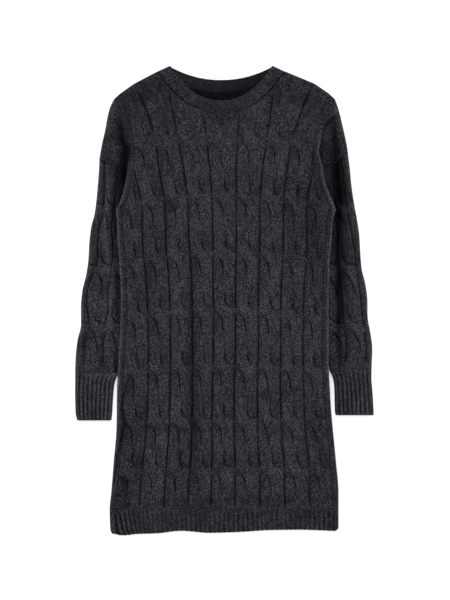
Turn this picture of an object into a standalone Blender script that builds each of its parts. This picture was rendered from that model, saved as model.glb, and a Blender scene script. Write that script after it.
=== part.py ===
"""A cable-knit sweater dress, laid flat on a surface with its front up.

Frame: +X to the viewer's right, +Y from the hem to the neck, +Z up off the surface.
The origin is the middle of the footprint, on the surface. The front and back lie on
each other, and the sleeves lie beside the body and run in under its sides.

Every wall is a plain inner surface with its outer points moved out along the normal
by the wall's thickness plus the height of the knit: cables on the front and the
sleeves, ribs on the bands. The side that rests on the surface is flat.
Sizes and tables are in millimetres, and the meshes are in metres.
"""

from collections import namedtuple

import bmesh
import bpy
import numpy as np

MM = 0.001

# ---------------------------------------------------------------- driving sizes
WALL = 2.4  # a knit wall at the bottom of a purl gutter
BACK_WALL = 3.0  # the back, pressed flat
EDGE_WALL = 1.6  # a wall where it rolls into a side or shoulder seam
EDGE_ROLL = 6.0  # how far in from the seam it reaches its full thickness
LAYER_GAP = 0.5  # air between the front and the back
SEAM_GAP = 0.35  # between two pieces along a seam
NECK_GAP = 0.45  # more along the neck, where the panels' cells cut across the curve
SLEEVE_GAP = 1.05  # and, measured straight down, along the slanting top of a sleeve
FRONT_LEVEL = BACK_WALL + LAYER_GAP  # the inside of the front, where nothing lifts it

HEM_TOP, ARMPIT, YOKE_BASE = -398.3, 174.0, 253.0  # heights of the seams' ends
SIDE_LIFT = 8.7  # how far a sleeve lifts the side of the back that lies on it
LIP_LIFT = 9.0  # and the front, which also stands up in the fold at the armhole
LIFT_FLAT, LIFT_END = 30.0, 95.0  # the lift holds this far in from the side, and ends here
FOLD_RUN = 7.0  # width of the drop from the fold's lip down to its foot
LIFT_FROM, LIFT_FULL = -215.0, -150.0  # heights between which the sides start to be lifted
REST_FULL, REST_END = 185.0, 240.0  # the sleeves under the sides end between these heights
LIP_FULL, LIP_END = 290.0, 352.0  # and the fold's lip between these
CAP_LIFT = 2.4  # the shoulder's cap, past the fold, stands up in its middle
CAP_FROM, CAP_FULL, CAP_UNTIL = 0.15, 0.6, 0.7  # it rises and falls at these parts of its width
ARMHOLE_BEND = 1.5  # how late the sleeve seam turns up to the shoulder's corner

CABLE_RISE = 2.6  # a cable above the purl gutter beside it
CROSS_RISE = 1.5  # the upper strand above the cable, where they cross
POCKET = 1.0  # how far the lower strand sinks beside a crossing
CROSS_REACH, CROSS_FULL = 30.0, 7.5  # a crossing's length each way, and its full part's
STRAND_EDGE = 0.1  # half the width of a strand's edge, in widths of the cable
GUTTER_HALF, GUTTER_BANK = 1.2, 4.6  # half a gutter's floor, and the width of its bank
FILLED = 0.45  # how far a crossing fills the gutters beside it, as a share of CABLE_RISE
FILL_FULL, FILL_END = 4.0, 14.0  # how far above and below the crossing it does so
FADED = 0.7  # the height, as a share of CABLE_RISE, that cables beside the armholes fade to
FADE_FROM, FADE_END = 215.0, 265.0  # heights between which they fade
STRIP_RISE = 0.8  # the plain strip beside the side seam
RIB_RISE = 1.5
RIB_FROM, RIB_FULL = 0.15, 0.75  # the part of each wave over which a rib rises
NECK_RIB_RISE = 0.9

NECK_X, NECK_Y = -6.0, 445.4  # between the two ends of the neckline, inside its folds
NECK_HALF = 96.8  # half the neck's width there
NECK_BAND = 25.0  # height of the neckband
FRONT_DROP, FRONT_POWER = 64.1, 2.2  # the front neckline's depth and roundness
BACK_DROP, BACK_POWER = 24.9, 2.1
NECK_FOLD = (0.909, -0.418)  # way of the fold at the neck's right end, seen from above
NECK_FOLD_REACH = 32.0  # the band turns to its fold over this length

HEM_RIBS, CUFF_RIBS, NECK_RIBS = 48, 9, 44
HEM_WALL, HEM_ROUND = 2.2, 0.5  # the front hem's wall in its gutters, and less at its edge
BAND_WALL = 2.3  # the neckband's

# ---------------------------------------------------------------- tables
# Outline of the body at each height. Above ARMPIT, it is the foot of the armhole's fold.
# strip is the plain strip beside the side seam.
Side = namedtuple("Side", "y left right strip")
SIDES = (
    Side(-450, -214, 217, 11),
    Side(-436, -218, 218, 11),
    Side(-398, -219, 218, 11),
    Side(-368, -216, 218, 11),
    Side(-306, -211, 213, 11),
    Side(-245, -206, 207, 11),
    Side(-184, -205, 202, 11),
    Side(-123, -202, 199, 11),
    Side(-67, -199, 199, 11),
    Side(-5, -197, 199, 11),
    Side(73, -200, 201, 11),
    Side(113, -203, 204, 11),
    Side(153, -205, 207, 11),
    Side(174, -206, 212, 11),
    Side(183, -200.5, 209, 11),
    Side(219, -190, 194.5, 10),
    Side(253, -184.5, 187.5, 8),
)

# The purl gutters between the cables: their middle and their spacing.
Gutters = namedtuple("Gutters", "y middle pitch")
GUTTERS = (
    Gutters(-398, 1.0, 47.3),
    Gutters(-318, 1.0, 45.8),
    Gutters(-257, -0.5, 43.6),
    Gutters(-165, -1.0, 42.3),
    Gutters(-88, 0.5, 42.5),
    Gutters(4, 0.3, 43.0),
    Gutters(111, 0.5, 44.8),
    Gutters(172, 0.3, 44.7),
    Gutters(253, -2.5, 48.4),
)
CROSSINGS = (302.6, 197.2, 88.1, -21.1, -128.3, -231.7, -325.6)

# Tops of the column lines on the neck seam and shoulder, and how far each bows in.
Top = namedtuple("Top", "u x y bow")
LEFT_TOPS = (
    Top(-6.0, -238.8, 268.0, 0),
    Top(-5.8, -233.5, 298.0, 0),
    Top(-5.5, -228.0, 322.0, 3),
    Top(-5.2, -223.0, 352.0, 6),
    Top(-5.0, -218.5, 368.0, 9),
    Top(-4.5, -211.0, 383.5, 9),
    Top(-3.5, -199.0, 394.5, 9),
    Top(-2.5, -172.0, 413.6, 9),
)
RIGHT_TOPS = (
    Top(2.5, 172.0, 413.6, -8),
    Top(3.5, 200.0, 394.5, -9),
    Top(4.5, 211.5, 383.5, -9),
    Top(5.0, 217.0, 368.0, -9),
    Top(5.2, 221.5, 352.0, -6),
    Top(5.5, 226.5, 330.0, -3),
    Top(5.8, 231.5, 306.0, 0),
    Top(6.0, 235.8, 285.0, 0),
)
LAST_CABLE, LAST_GUTTER, SIDE_COLUMN = 3.5, 4.5, 5.0  # column lines at each side
STRIP_FOOT = 4.62  # the column line where the last cable's bank ends
NECK_COLUMN, CORNER_COLUMN = 1.8, 2.0  # the column lines at the neck's end and beside it
CORNER_RISE = 2.6  # how far the panels' corner rises beside the neckband's fold

# The bottom edge of the hem, which waves a little.
HemEdge = namedtuple("HemEdge", "x y")
HEM_EDGE = (
    HemEdge(-219, -446.5),
    HemEdge(-206, -450),
    HemEdge(-175, -447.5),
    HemEdge(-133, -446.2),
    HemEdge(-84, -441.4),
    HemEdge(-31, -445.2),
    HemEdge(23, -443.9),
    HemEdge(93, -439.7),
    HemEdge(139, -439.3),
    HemEdge(219, -442),
)

# The sleeves, by distance from the body's middle: the outer edge, the inner edge, which
# runs in under the body, the first gutter from the outer edge, the next gutter from that
# one, the long fold from the outer edge, its depth and its half width.
Sleeve = namedtuple("Sleeve", "y outer inner gutter column fold depth spread")
LEFT_SLEEVE = (
    Sleeve(-139.5, 285.3, 202.5, 15, 37, 60, 0.0, 9),
    Sleeve(-107, 284.2, 195, 18, 34, 62, 0.6, 9),
    Sleeve(-77, 280.7, 184, 17, 33, 62, 0.8, 9),
    Sleeve(-46, 274.0, 176, 16, 33, 60, 0.8, 9),
    Sleeve(-15, 274.2, 172, 17, 33, 58, 1.2, 9),
    Sleeve(15, 271.9, 171, 17, 33, 54, 1.6, 9),
    Sleeve(46, 264.6, 171, 16, 32, 48, 2.0, 8),
    Sleeve(77, 260.0, 172, 16, 31, 47, 2.4, 8),
    Sleeve(107, 258.3, 174, 16, 30, 49, 2.6, 8),
    Sleeve(138, 254.9, 180, 15, 28, 45, 3.0, 8),
    Sleeve(162, 248.6, 195, 14, 26, 40, 3.0, 8),
    Sleeve(174, 246.6, 207.3, 14, 25, 38, 3.0, 8),
    Sleeve(185, 245.2, 201.6, 14, 25, 40, 3.0, 9),
    Sleeve(219, 242.0, 194, 13, 25, 43, 3.2, 10),
    Sleeve(252, 239.5, 188, 13, 25, 46, 3.2, 12),
    Sleeve(268, 238.8, 186, 13, 25, 48, 3.2, 12),
)
RIGHT_SLEEVE = (
    Sleeve(-131.8, 281.6, 200, 13, 37, 58, 0.8, 9),
    Sleeve(-92, 282.8, 190, 12, 37, 60, 1.6, 9),
    Sleeve(-61, 279.0, 182, 11, 37, 60, 2.2, 9),
    Sleeve(-31, 273.9, 176, 10, 37, 56, 2.8, 9),
    Sleeve(0, 273.5, 174, 13, 35, 54, 3.0, 9),
    Sleeve(31, 269.6, 173, 13, 35, 52, 3.2, 9),
    Sleeve(61, 262.4, 173, 10, 34, 46, 3.2, 9),
    Sleeve(92, 259.9, 175, 11, 32, 42, 3.2, 10),
    Sleeve(123, 258.1, 188, 14, 27, 39, 3.2, 11),
    Sleeve(158, 253.0, 206, 16, 25, 33, 3.2, 10),
    Sleeve(174, 250.0, 213.3, 14, 21, 30, 3.2, 9),
    Sleeve(184, 248.2, 209.5, 14, 22, 28, 3.2, 9),
    Sleeve(219, 243.0, 199, 14, 20, 25, 3.2, 9),
    Sleeve(252, 239.8, 192, 14, 18, 22, 3.2, 9),
    Sleeve(285, 235.8, 186, 14, 18, 20, 3.2, 9),
)
SLEEVE_CROSSINGS = (172.0, 57.5, -54.0)
SLEEVE_TILT_RUN = 80.0  # the sleeve's top seam slants, and this far down it is level
SLEEVE_FLOOR = 2.2  # the lower wall
SLEEVE_LEVEL, TUCKED_LEVEL = 8.4, 5.4  # its gutters, in view and under the body
SLEEVE_EDGE = 3.8  # height of its rolled edges
OUTER_ROLL, INNER_ROLL = 9.0, 6.0  # widths of those edges
TUCK_FROM, TUCK_END = 16.0, 1.0  # it sinks between these distances out from the body's side
PRESSED_FROM, PRESSED = 10.0, 0.45  # where the body starts to flatten its cables, and how much
FOLD_FLATTENS = 0.5  # how much of the cables is lost in the long fold
LAST_WIDTH = 36.0  # width of the cable beside the sleeve's inner edge
PLAIN_LIFT = 0.5  # least room between the sleeve's two walls
EDGE_INSET = 2.5  # how far in from such an edge the lower wall meets the surface
PLAIN_INSET = 3.5  # and how far in the plain inside starts

Cuff = namedtuple("Cuff", "y outer inner")
LEFT_CUFF = (
    Cuff(-140.0, 285.3, 202.6),
    Cuff(-155, 285.2, 209.4),
    Cuff(-175, 285.4, 212.3),
    Cuff(-214, 284.6, 214.6),
    Cuff(-230, 281.5, 216.2),
)
RIGHT_CUFF = (
    Cuff(-132.3, 281.6, 200.2),
    Cuff(-150, 281.3, 207.9),
    Cuff(-168, 282.7, 210.4),
    Cuff(-214, 285.5, 211.6),
    Cuff(-220, 285.6, 213.0),
)
CUFF_LEVEL = 5.0  # its gutters
CUFF_EDGE = 3.2  # height of its rolled edges
CUFF_ROLL = 5.0  # their width
CUFF_INSIDE, CUFF_CROWN = 2.6, 0.3  # height of the upper wall's inside, and its bulge

CHARCOAL_KNIT = (0.028, 0.027, 0.032)  # linear colours of the body and of the bands
CHARCOAL_RIB = (0.025, 0.024, 0.029)
MATT = 0.95  # roughness of wool

# Points of the meshes. Places on a surface that needs few are a part of those beside it.
MERGED = 0.002  # points closer than this are one
UPRIGHT = 1e-9  # a normal that rises less than this has no way of its own
NECK_PLACES = 21  # places that the neck seam is laid out at
STRIP_COLUMNS = (4.74, 4.88)
CABLE_SHARES = (0.0, 0.1, 0.3, 0.5, 0.7, 0.9)
CAP_COLUMNS = (5.2, 5.5, 5.8, 6.0)
PLAIN_COLUMNS = (2.5, 3.0, 3.5, 4.0, 4.5, 4.74, 4.88, 5.0)
NEAR_NECK = 2.2  # a plain surface keeps every column line up to this one
ROUND_CROSSING, PLAIN_ROUND = (28, 16, 6, -6, -16, -28), (28, -28)
ARMHOLE_STEP = -6  # plain surfaces have this one too where the side turns in past the armpit
CLEAR_OF_ARMPIT = 6.0  # other rows keep this far from the armpit's
YOKE_SHARES = (0.14, 0.28, 0.42, 0.56, 0.72, 0.9, 1.0)
PLAIN_YOKE_SHARES = (0.28, 0.56, 0.9, 1.0)
SMALL_U, SMALL_V, SMALL_SHARE = 0.02, 1.0, 0.01  # steps that a surface's slope is taken over
HEM_SHARES = (0.0, 0.3, 0.85, 1.0)
BACK_HEM_CELLS = 12
RIB_POINTS = 4  # points to each rib
CUFF_ENDS, CUFF_INSIDE_ROWS = (12.0, 45.0, 20.0), [0, 2, 3, 4]  # rows up from its end and down
BACK_SECTIONS, FOLD_SECTIONS = 25, 5  # of the neckband
SLEEVE_ROUND = (28, 14, 0, -14, -28)
SLEEVE_BETWEEN = (-100.0, 10.0, 115.0, 220.0, 236.0)
SLEEVE_SHARES = (
    0.0, 0.25, 0.55, 0.9, 1.0, 1.1, 1.3, 1.5, 1.7, 1.9, 2.0, 2.1, 2.35, 2.6, 2.8, 2.93, 3.0
)
SLEEVE_PARTNERS = [0, 2, 4, 7, 10, 12, 14, 16]  # those that the plain inside has too
FLOOR_SHARES = np.array([0.0, 0.33, 0.67, 1.0])

# ---------------------------------------------------------------- helpers


def ease(start, end, value):
    """0 before start, 1 past end and smooth between, counted either way."""
    t = np.clip((value - start) / (end - start), 0.0, 1.0)
    return t * t * (3.0 - 2.0 * t)


def through(rows, across, column):
    """A smooth function through two columns of a table, with no overshoot."""
    ordered = sorted(rows, key=lambda row: getattr(row, across))
    x = np.array([getattr(row, across) for row in ordered], float)
    y = np.array([getattr(row, column) for row in ordered], float)
    slope = np.diff(y) / np.diff(x)
    same_way = slope[1:] * slope[:-1] > 0
    total = np.where(same_way, slope[1:] + slope[:-1], 1.0)
    middle = np.where(same_way, 2.0 * slope[1:] * slope[:-1] / total, 0.0)
    at_knot = np.concatenate([slope[:1], middle, slope[-1:]])

    def value(at):
        at = np.clip(at, x[0], x[-1])
        k = np.clip(np.searchsorted(x, at) - 1, 0, len(x) - 2)
        step = x[k + 1] - x[k]
        t = (at - x[k]) / step
        rise = (t * t * (3.0 - 2.0 * t)) * (y[k + 1] - y[k])
        bend = step * (t * (1 - t) ** 2 * at_knot[k] - t * t * (1 - t) * at_knot[k + 1])
        return y[k] + rise + bend

    return value


def unit(vector):
    """The vectors along the last axis, one long."""
    return vector / np.linalg.norm(vector, axis=-1, keepdims=True)


LEFT = through(SIDES, "y", "left")
RIGHT = through(SIDES, "y", "right")
STRIP = through(SIDES, "y", "strip")
MIDDLE = through(GUTTERS, "y", "middle")
PITCH = through(GUTTERS, "y", "pitch")
HEM_BOTTOM = through(HEM_EDGE, "x", "y")

# ---------------------------------------------------------------- the knit


def above_crossing(y, crossings):
    """Height above the nearest crossing, negative below it."""
    apart = np.asarray(y, float)[..., None] - np.array(crossings)
    nearest = np.abs(apart).argmin(axis=-1)
    return np.take_along_axis(apart, nearest[..., None], axis=-1)[..., 0]


def cable(across, width, above):
    """Height of a two-strand cable over its gutter.

    across runs from 0 at the left gutter to 1 at the right one. The upper strand comes
    from the left half above a crossing and passes to the right half below it.
    """
    bank = ease(GUTTER_HALF, GUTTER_HALF + GUTTER_BANK, width * np.minimum(across, 1 - across))
    near = ease(CROSS_REACH, CROSS_FULL, np.abs(above))
    filled = FILLED * ease(FILL_END, FILL_FULL, np.abs(above))
    in_left = across - 0.5 * ease(0.0, -CROSS_REACH, above)
    in_right = 1.0 - 0.5 * ease(0.0, CROSS_REACH, above) - across
    inside = ease(-STRAND_EDGE, STRAND_EDGE, in_left) * ease(-STRAND_EDGE, STRAND_EDGE, in_right)
    crossing = near * (CROSS_RISE * inside - POCKET * (1.0 - inside))
    return CABLE_RISE * np.maximum(bank, filled) + bank * crossing


def rib(turn):
    """Height of a rib, 0 to 1, at a number of ribs across."""
    wave = 0.5 - 0.5 * np.cos(2.0 * np.pi * turn)
    return ease(RIB_FROM, RIB_FULL, wave)


# ---------------------------------------------------------------- neckline


def neck_frame(at, drop, power):
    """The neck edge at each sideways place from -1 to 1, and the way to the seam there."""
    at = np.asarray(at, float)
    x = NECK_X + NECK_HALF * at
    y = NECK_Y - drop + drop * np.abs(at) ** power
    slope = power * drop / NECK_HALF * np.sign(at) * np.abs(at) ** (power - 1)
    square = unit(np.stack([slope, -np.ones_like(slope)], axis=-1))
    fold = np.stack([np.sign(at) * NECK_FOLD[0], np.full_like(at, NECK_FOLD[1])], axis=-1)
    turn = ease(1.0 - NECK_FOLD_REACH / NECK_HALF, 1.0, np.abs(at))[..., None]
    return np.stack([x, y], axis=-1), unit(square * (1 - turn) + fold * turn)


def neck_seam(at, drop, power, gap=0.0):
    """The seam under the neckband."""
    edge, way = neck_frame(at, drop, power)
    return edge + way * (NECK_BAND + gap)


# ---------------------------------------------------------------- the body panels


def armhole_ends(side):
    """Distances from the middle of the sleeve seam's two ends: the fold's foot, the corner."""
    if side < 0:
        return -LEFT(YOKE_BASE), -LEFT_TOPS[0].x
    return RIGHT(YOKE_BASE), RIGHT_TOPS[-1].x


def armhole_seam(side, distance):
    """Height of the sleeve seam at a distance from the middle."""
    foot, corner = armhole_ends(side)
    top = LEFT_TOPS[0].y if side < 0 else RIGHT_TOPS[-1].y
    share = np.clip((distance - foot) / (corner - foot), 0.0, 1.0)
    return YOKE_BASE + (top - YOKE_BASE) * share**ARMHOLE_BEND


class Panel:
    """Lays out the front or the back: a column line u and a row v give a place.

    u counts cables from the middle, with a gutter at each half, the side seam at 5 and
    the sleeve seam's outer end at 6. v is the height in millimetres up to the yoke, and
    above that 1 more than YOKE_BASE at the shoulder and neck seams.
    """

    def __init__(self, drop, power, is_front):
        self.drop, self.power, self.is_front = drop, power, is_front
        neck = np.linspace(-1, 1, NECK_PLACES)
        places = neck_seam(neck, drop, power, NECK_GAP)
        tops = [Top(NECK_COLUMN * n, x, y, 0) for n, (x, y) in zip(neck, places)]
        for side, (x, y) in ((-1, places[0]), (1, places[-1])):
            corner_x = x - side * NECK_FOLD[1] * CORNER_RISE
            tops.append(Top(CORNER_COLUMN * side, corner_x, y + NECK_FOLD[0] * CORNER_RISE, 0))
        tops = sorted(LEFT_TOPS + RIGHT_TOPS + tuple(tops), key=lambda top: top.u)
        self.top_u = np.array([top.u for top in tops])
        self.top_x = np.array([top.x for top in tops])
        self.top_y = np.array([top.y for top in tops])
        self.top_bow = np.array([top.bow for top in tops])

    def column(self, u, y):
        """X of column line u at a height below the yoke."""
        side = np.where(u < 0, LEFT(y), RIGHT(y))
        inward = np.where(u < 0, 1.0, -1.0)
        outer = side + inward * STRIP(y)
        inner = MIDDLE(y) - inward * LAST_CABLE * PITCH(y)
        size = np.abs(u)
        strip_share = (SIDE_COLUMN - size) / (SIDE_COLUMN - LAST_GUTTER)
        in_strip = side + (outer - side) * strip_share
        in_last = outer + (inner - outer) * (LAST_GUTTER - size)
        past_cables = np.where(size <= LAST_GUTTER, in_last, in_strip)
        return np.where(size <= LAST_CABLE, MIDDLE(y) + u * PITCH(y), past_cables)

    def base(self, u):
        """Where column line u starts on the yoke's lowest row, along the sleeve seam past 5."""
        x = self.column(np.clip(u, -SIDE_COLUMN, SIDE_COLUMN), YOKE_BASE)
        y = np.full_like(x, YOKE_BASE)
        for side in (-1, 1):
            past = np.clip(u * side - SIDE_COLUMN, 0.0, 1.0)
            foot, corner = armhole_ends(side)
            x = x + side * past * (corner - foot)
            y = y + armhole_seam(side, foot + past * (corner - foot)) - YOKE_BASE
        return x, y

    def place(self, u, v):
        """X and Y at column line u and row v."""
        t = np.clip(v - YOKE_BASE, 0.0, 1.0)
        below = np.minimum(v, YOKE_BASE)
        base_x, base_y = self.base(u)
        top_x = np.interp(u, self.top_u, self.top_x)
        top_y = np.interp(u, self.top_u, self.top_y)
        bow = np.interp(u, self.top_u, self.top_bow) * 4.0 * t * (1.0 - t)
        in_yoke = v >= YOKE_BASE
        x = np.where(in_yoke, base_x + (top_x - base_x) * t + bow, self.column(u, below))
        y = np.where(in_yoke, base_y + (top_y - base_y) * t, below)
        return x, y

    def side_distance(self, u, v):
        """Millimetres in from the side seam or the foot of the armhole's fold."""
        x, _ = self.place(u, v)
        edge, _ = self.place(np.where(u < 0, -SIDE_COLUMN, SIDE_COLUMN), v)
        return np.maximum((x - edge) * np.where(u < 0, 1.0, -1.0), 0.0)

    def lift(self, u, v):
        """How far the cloth stands above where it would lie if nothing were under it."""
        _, y = self.place(u, v)
        distance = self.side_distance(u, v)
        inward = ease(LIFT_END, LIFT_FLAT, distance)
        below = ease(LIFT_FROM, LIFT_FULL, y)
        resting = SIDE_LIFT * below * ease(REST_END, REST_FULL, y) * inward
        past = np.clip(np.abs(u) - SIDE_COLUMN, 0.0, 1.0)
        if not self.is_front:
            return np.where(past > 0, 0.0, resting)
        lip = LIP_LIFT * below * ease(LIP_END, LIP_FULL, y) * inward
        lifted = resting + (lip - resting) * ease(0.0, FOLD_RUN, distance)
        cap = CAP_LIFT * ease(CAP_FROM, CAP_FULL, past) * ease(1.0, CAP_UNTIL, past)
        return np.where(past > 0, cap, lifted)

    def inner(self, u, v):
        """The wall's inner surface for the front, and its upper surface for the back."""
        x, y = self.place(u, v)
        level = FRONT_LEVEL if self.is_front else BACK_WALL
        return np.stack([x, y, level + self.lift(u, v)], axis=-1)

    def roll(self, u, v):
        """0 at a side or shoulder seam, 1 where the wall has its full thickness."""
        x, y = self.place(u, v)
        top_x, top_y = self.place(u, np.full_like(v, YOKE_BASE + 1.0))
        to_top = np.hypot(top_x - x, top_y - y)
        from_shoulder = np.where(np.abs(u) > NECK_COLUMN, to_top, EDGE_ROLL)
        from_seam = np.where(v > YOKE_BASE, from_shoulder, self.side_distance(u, v))
        return ease(0.0, EDGE_ROLL, from_seam)

    def knit(self, u, v):
        """Height of the cables at column line u and row v."""
        _, y = self.place(u, v)
        across = np.mod(u + 0.5, 1.0)
        left, _ = self.place(np.floor(u + 0.5) - 0.5, v)
        right, _ = self.place(np.floor(u + 0.5) + 0.5, v)
        rise = cable(across, np.abs(right - left), above_crossing(y, CROSSINGS))
        size = np.abs(u)
        kept = np.where(size > LAST_CABLE, ease(FADE_END, FADE_FROM, y), 1.0)
        faded = CABLE_RISE * FADED
        rise = faded + (rise - faded) * kept
        in_strip = ease(LAST_GUTTER, STRIP_FOOT, size)
        return rise + (STRIP_RISE - rise) * in_strip

    def outer(self, u, v):
        """The wall's outer surface."""
        inner = self.inner(u, v)
        small_v = np.where(v >= YOKE_BASE, SMALL_SHARE, SMALL_V)
        along_u = self.inner(u + SMALL_U, v) - self.inner(u - SMALL_U, v)
        along_v = self.inner(u, v + small_v) - self.inner(u, v - small_v)
        normal = np.cross(along_u, along_v)
        at_edge = (np.abs(u) > SIDE_COLUMN - SMALL_U / 2) | (normal[..., 2] < UPRIGHT)
        normal = unit(np.where(at_edge[..., None], [0.0, 0.0, 1.0], normal))
        thick = WALL + self.knit(u, v)
        thick = EDGE_WALL + (thick - EDGE_WALL) * self.roll(u, v)
        return inner + normal * thick[..., None]

    def underside(self, u, v):
        """The side of the back that rests on the surface or on a sleeve."""
        points = self.inner(u, v)
        thick = EDGE_WALL + (BACK_WALL - EDGE_WALL) * self.roll(u, v)
        return points - thick[..., None] * np.array([0.0, 0.0, 1.0])


def columns():
    """Column lines of the body: two in each strip, then six to a cable."""
    edge = STRIP_COLUMNS + (SIDE_COLUMN,)
    cables = [k - 0.5 + share for k in range(-4, 5) for share in CABLE_SHARES]
    return np.array([-u for u in edge[::-1]] + cables + [LAST_GUTTER, *edge])


def plain_columns():
    """The column lines of a plain surface: few, and close only below the neckline."""
    near = [u for u in columns() if abs(u) < NEAR_NECK]
    return np.array([-u for u in PLAIN_COLUMNS[::-1]] + near + list(PLAIN_COLUMNS))


def body_rows(steps):
    """Heights of the rows up to the yoke: some round each crossing, and the armhole's corners."""
    near = {c + step for c in CROSSINGS[1:] for step in steps}
    near = {y for y in near if abs(y - ARMPIT) > CLEAR_OF_ARMPIT}
    at_armhole = CROSSINGS[1] + ARMHOLE_STEP
    return np.array(sorted(near | {HEM_TOP, ARMPIT, at_armhole, REST_END, YOKE_BASE}))


# ---------------------------------------------------------------- meshes


def material(name, colour):
    """A matt wool finish."""
    made = bpy.data.materials.new(name)
    made.use_nodes = True
    shader = made.node_tree.nodes["Principled BSDF"]
    shader.inputs["Base Color"].default_value = (*colour, 1.0)
    shader.inputs["Roughness"].default_value = MATT
    shader.inputs["Metallic"].default_value = 0.0
    return made


def finish(name, mesh, finish_material):
    """Turns a bmesh in millimetres into a closed, named object in metres."""
    loose = [vertex for vertex in mesh.verts if not vertex.link_faces]
    bmesh.ops.delete(mesh, geom=loose, context="VERTS")
    bmesh.ops.remove_doubles(mesh, verts=mesh.verts, dist=MERGED)
    bmesh.ops.recalc_face_normals(mesh, faces=mesh.faces)
    bmesh.ops.scale(mesh, vec=(MM, MM, MM), verts=mesh.verts)
    data = bpy.data.meshes.new(name)
    mesh.to_mesh(data)
    mesh.free()
    data.shade_smooth()
    data.materials.append(finish_material)
    bpy.context.scene.collection.objects.link(bpy.data.objects.new(name, data))


def add_points(mesh, points):
    """A bmesh vertex for each point of a grid, in the grid's own order."""
    flat = [mesh.verts.new(point) for point in points.reshape(-1, 3)]
    rows, cols = points.shape[:2]
    return [flat[i * cols : (i + 1) * cols] for i in range(rows)]


def fill(mesh, grid, missing=lambda i, j: False):
    """Faces over a grid of vertices, apart from the missing cells."""
    for i in range(len(grid) - 1):
        for j in range(len(grid[0]) - 1):
            if not missing(i, j):
                mesh.faces.new(
                    (grid[i][j], grid[i][j + 1], grid[i + 1][j + 1], grid[i + 1][j])
                )


def zip_rims(mesh, fine, coarse):
    """Joins two loops that follow each other. coarse has None where it has no vertex."""
    kept = [n for n, vertex in enumerate(coarse) if vertex is not None]
    for start, end in zip(kept, kept[1:] + [kept[0] + len(fine)]):
        middle = (start + end) // 2
        for n in range(start, end):
            first, second = fine[n % len(fine)], fine[(n + 1) % len(fine)]
            anchor = coarse[start] if n < middle else coarse[end % len(fine)]
            mesh.faces.new((first, second, anchor))
        pivot = fine[middle % len(fine)]
        mesh.faces.new((pivot, coarse[end % len(fine)], coarse[start]))


def tee_loop(rows, base_row, cols, first, last):
    """Grid places round a panel: a body between columns first and last, and a wider yoke."""
    loop = [(0, j) for j in range(first, last)]
    loop += [(i, last) for i in range(base_row)]
    loop += [(base_row, j) for j in range(last, cols - 1)]
    loop += [(i, cols - 1) for i in range(base_row, rows - 1)]
    loop += [(rows - 1, j) for j in range(cols - 1, 0, -1)]
    loop += [(i, 0) for i in range(rows - 1, base_row, -1)]
    loop += [(base_row, j) for j in range(0, first)]
    loop += [(i, first) for i in range(base_row, 0, -1)]
    return loop


def panel_grid(panel_columns, rows, yoke_shares):
    """Column lines and rows of a whole panel, with the caps past the armhole's fold."""
    caps = np.array(CAP_COLUMNS)
    u = np.concatenate([-caps[::-1], panel_columns, caps])
    v = np.concatenate([rows, YOKE_BASE + np.array(yoke_shares)])
    return u, v


def beside_body(u, v):
    """Tells, for cells of a panel's grid, whether they lie below the yoke and past its sides."""
    return lambda i, j: v[i] < YOKE_BASE - SEAM_GAP and abs(u[j] + u[j + 1]) > 2 * SIDE_COLUMN


def sample(surface, u, v):
    """A grid of points on a surface of column lines and rows."""
    all_u, all_v = np.meshgrid(u, v)
    return surface(all_u, all_v)


def front_panel(wool):
    """The front: cables outside, plain inside, folded over at the armholes."""
    panel = Panel(FRONT_DROP, FRONT_POWER, is_front=True)
    rows, caps = body_rows(ROUND_CROSSING), len(CAP_COLUMNS)
    u, v = panel_grid(columns(), rows, YOKE_SHARES)
    few_u, few_v = panel_grid(plain_columns(), body_rows(PLAIN_ROUND), PLAIN_YOKE_SHARES)
    mesh = bmesh.new()
    outside = add_points(mesh, sample(panel.outer, u, v))
    inside = add_points(mesh, sample(panel.inner, few_u, few_v))
    fill(mesh, outside, beside_body(u, v))
    fill(mesh, inside, beside_body(few_u, few_v))
    loop = tee_loop(len(v), len(rows) - 1, len(u), caps, len(u) - 1 - caps)
    places = {
        (round(b, 4), round(a, 4)): inside[i][j]
        for i, b in enumerate(few_v)
        for j, a in enumerate(few_u)
    }
    fine = [outside[i][j] for i, j in loop]
    coarse = [places.get((round(v[i], 4), round(u[j], 4))) for i, j in loop]
    zip_rims(mesh, fine, coarse)
    finish("front", mesh, wool)


def back_panel(wool):
    """The back: plain and flat where it rests, and lifted where a sleeve runs in under it."""
    panel = Panel(BACK_DROP, BACK_POWER, is_front=False)
    rows, caps = body_rows(PLAIN_ROUND), len(CAP_COLUMNS)
    u, v = panel_grid(plain_columns(), rows, PLAIN_YOKE_SHARES)
    mesh = bmesh.new()
    upper = add_points(mesh, sample(panel.inner, u, v))
    lower = add_points(mesh, sample(panel.underside, u, v))
    for surface in (upper, lower):
        fill(mesh, surface, beside_body(u, v))
    loop = tee_loop(len(v), len(rows) - 1, len(u), caps, len(u) - 1 - caps)
    zip_rims(mesh, [lower[i][j] for i, j in loop], [upper[i][j] for i, j in loop])
    finish("back", mesh, wool)


# ---------------------------------------------------------------- bands and tubes


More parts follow.
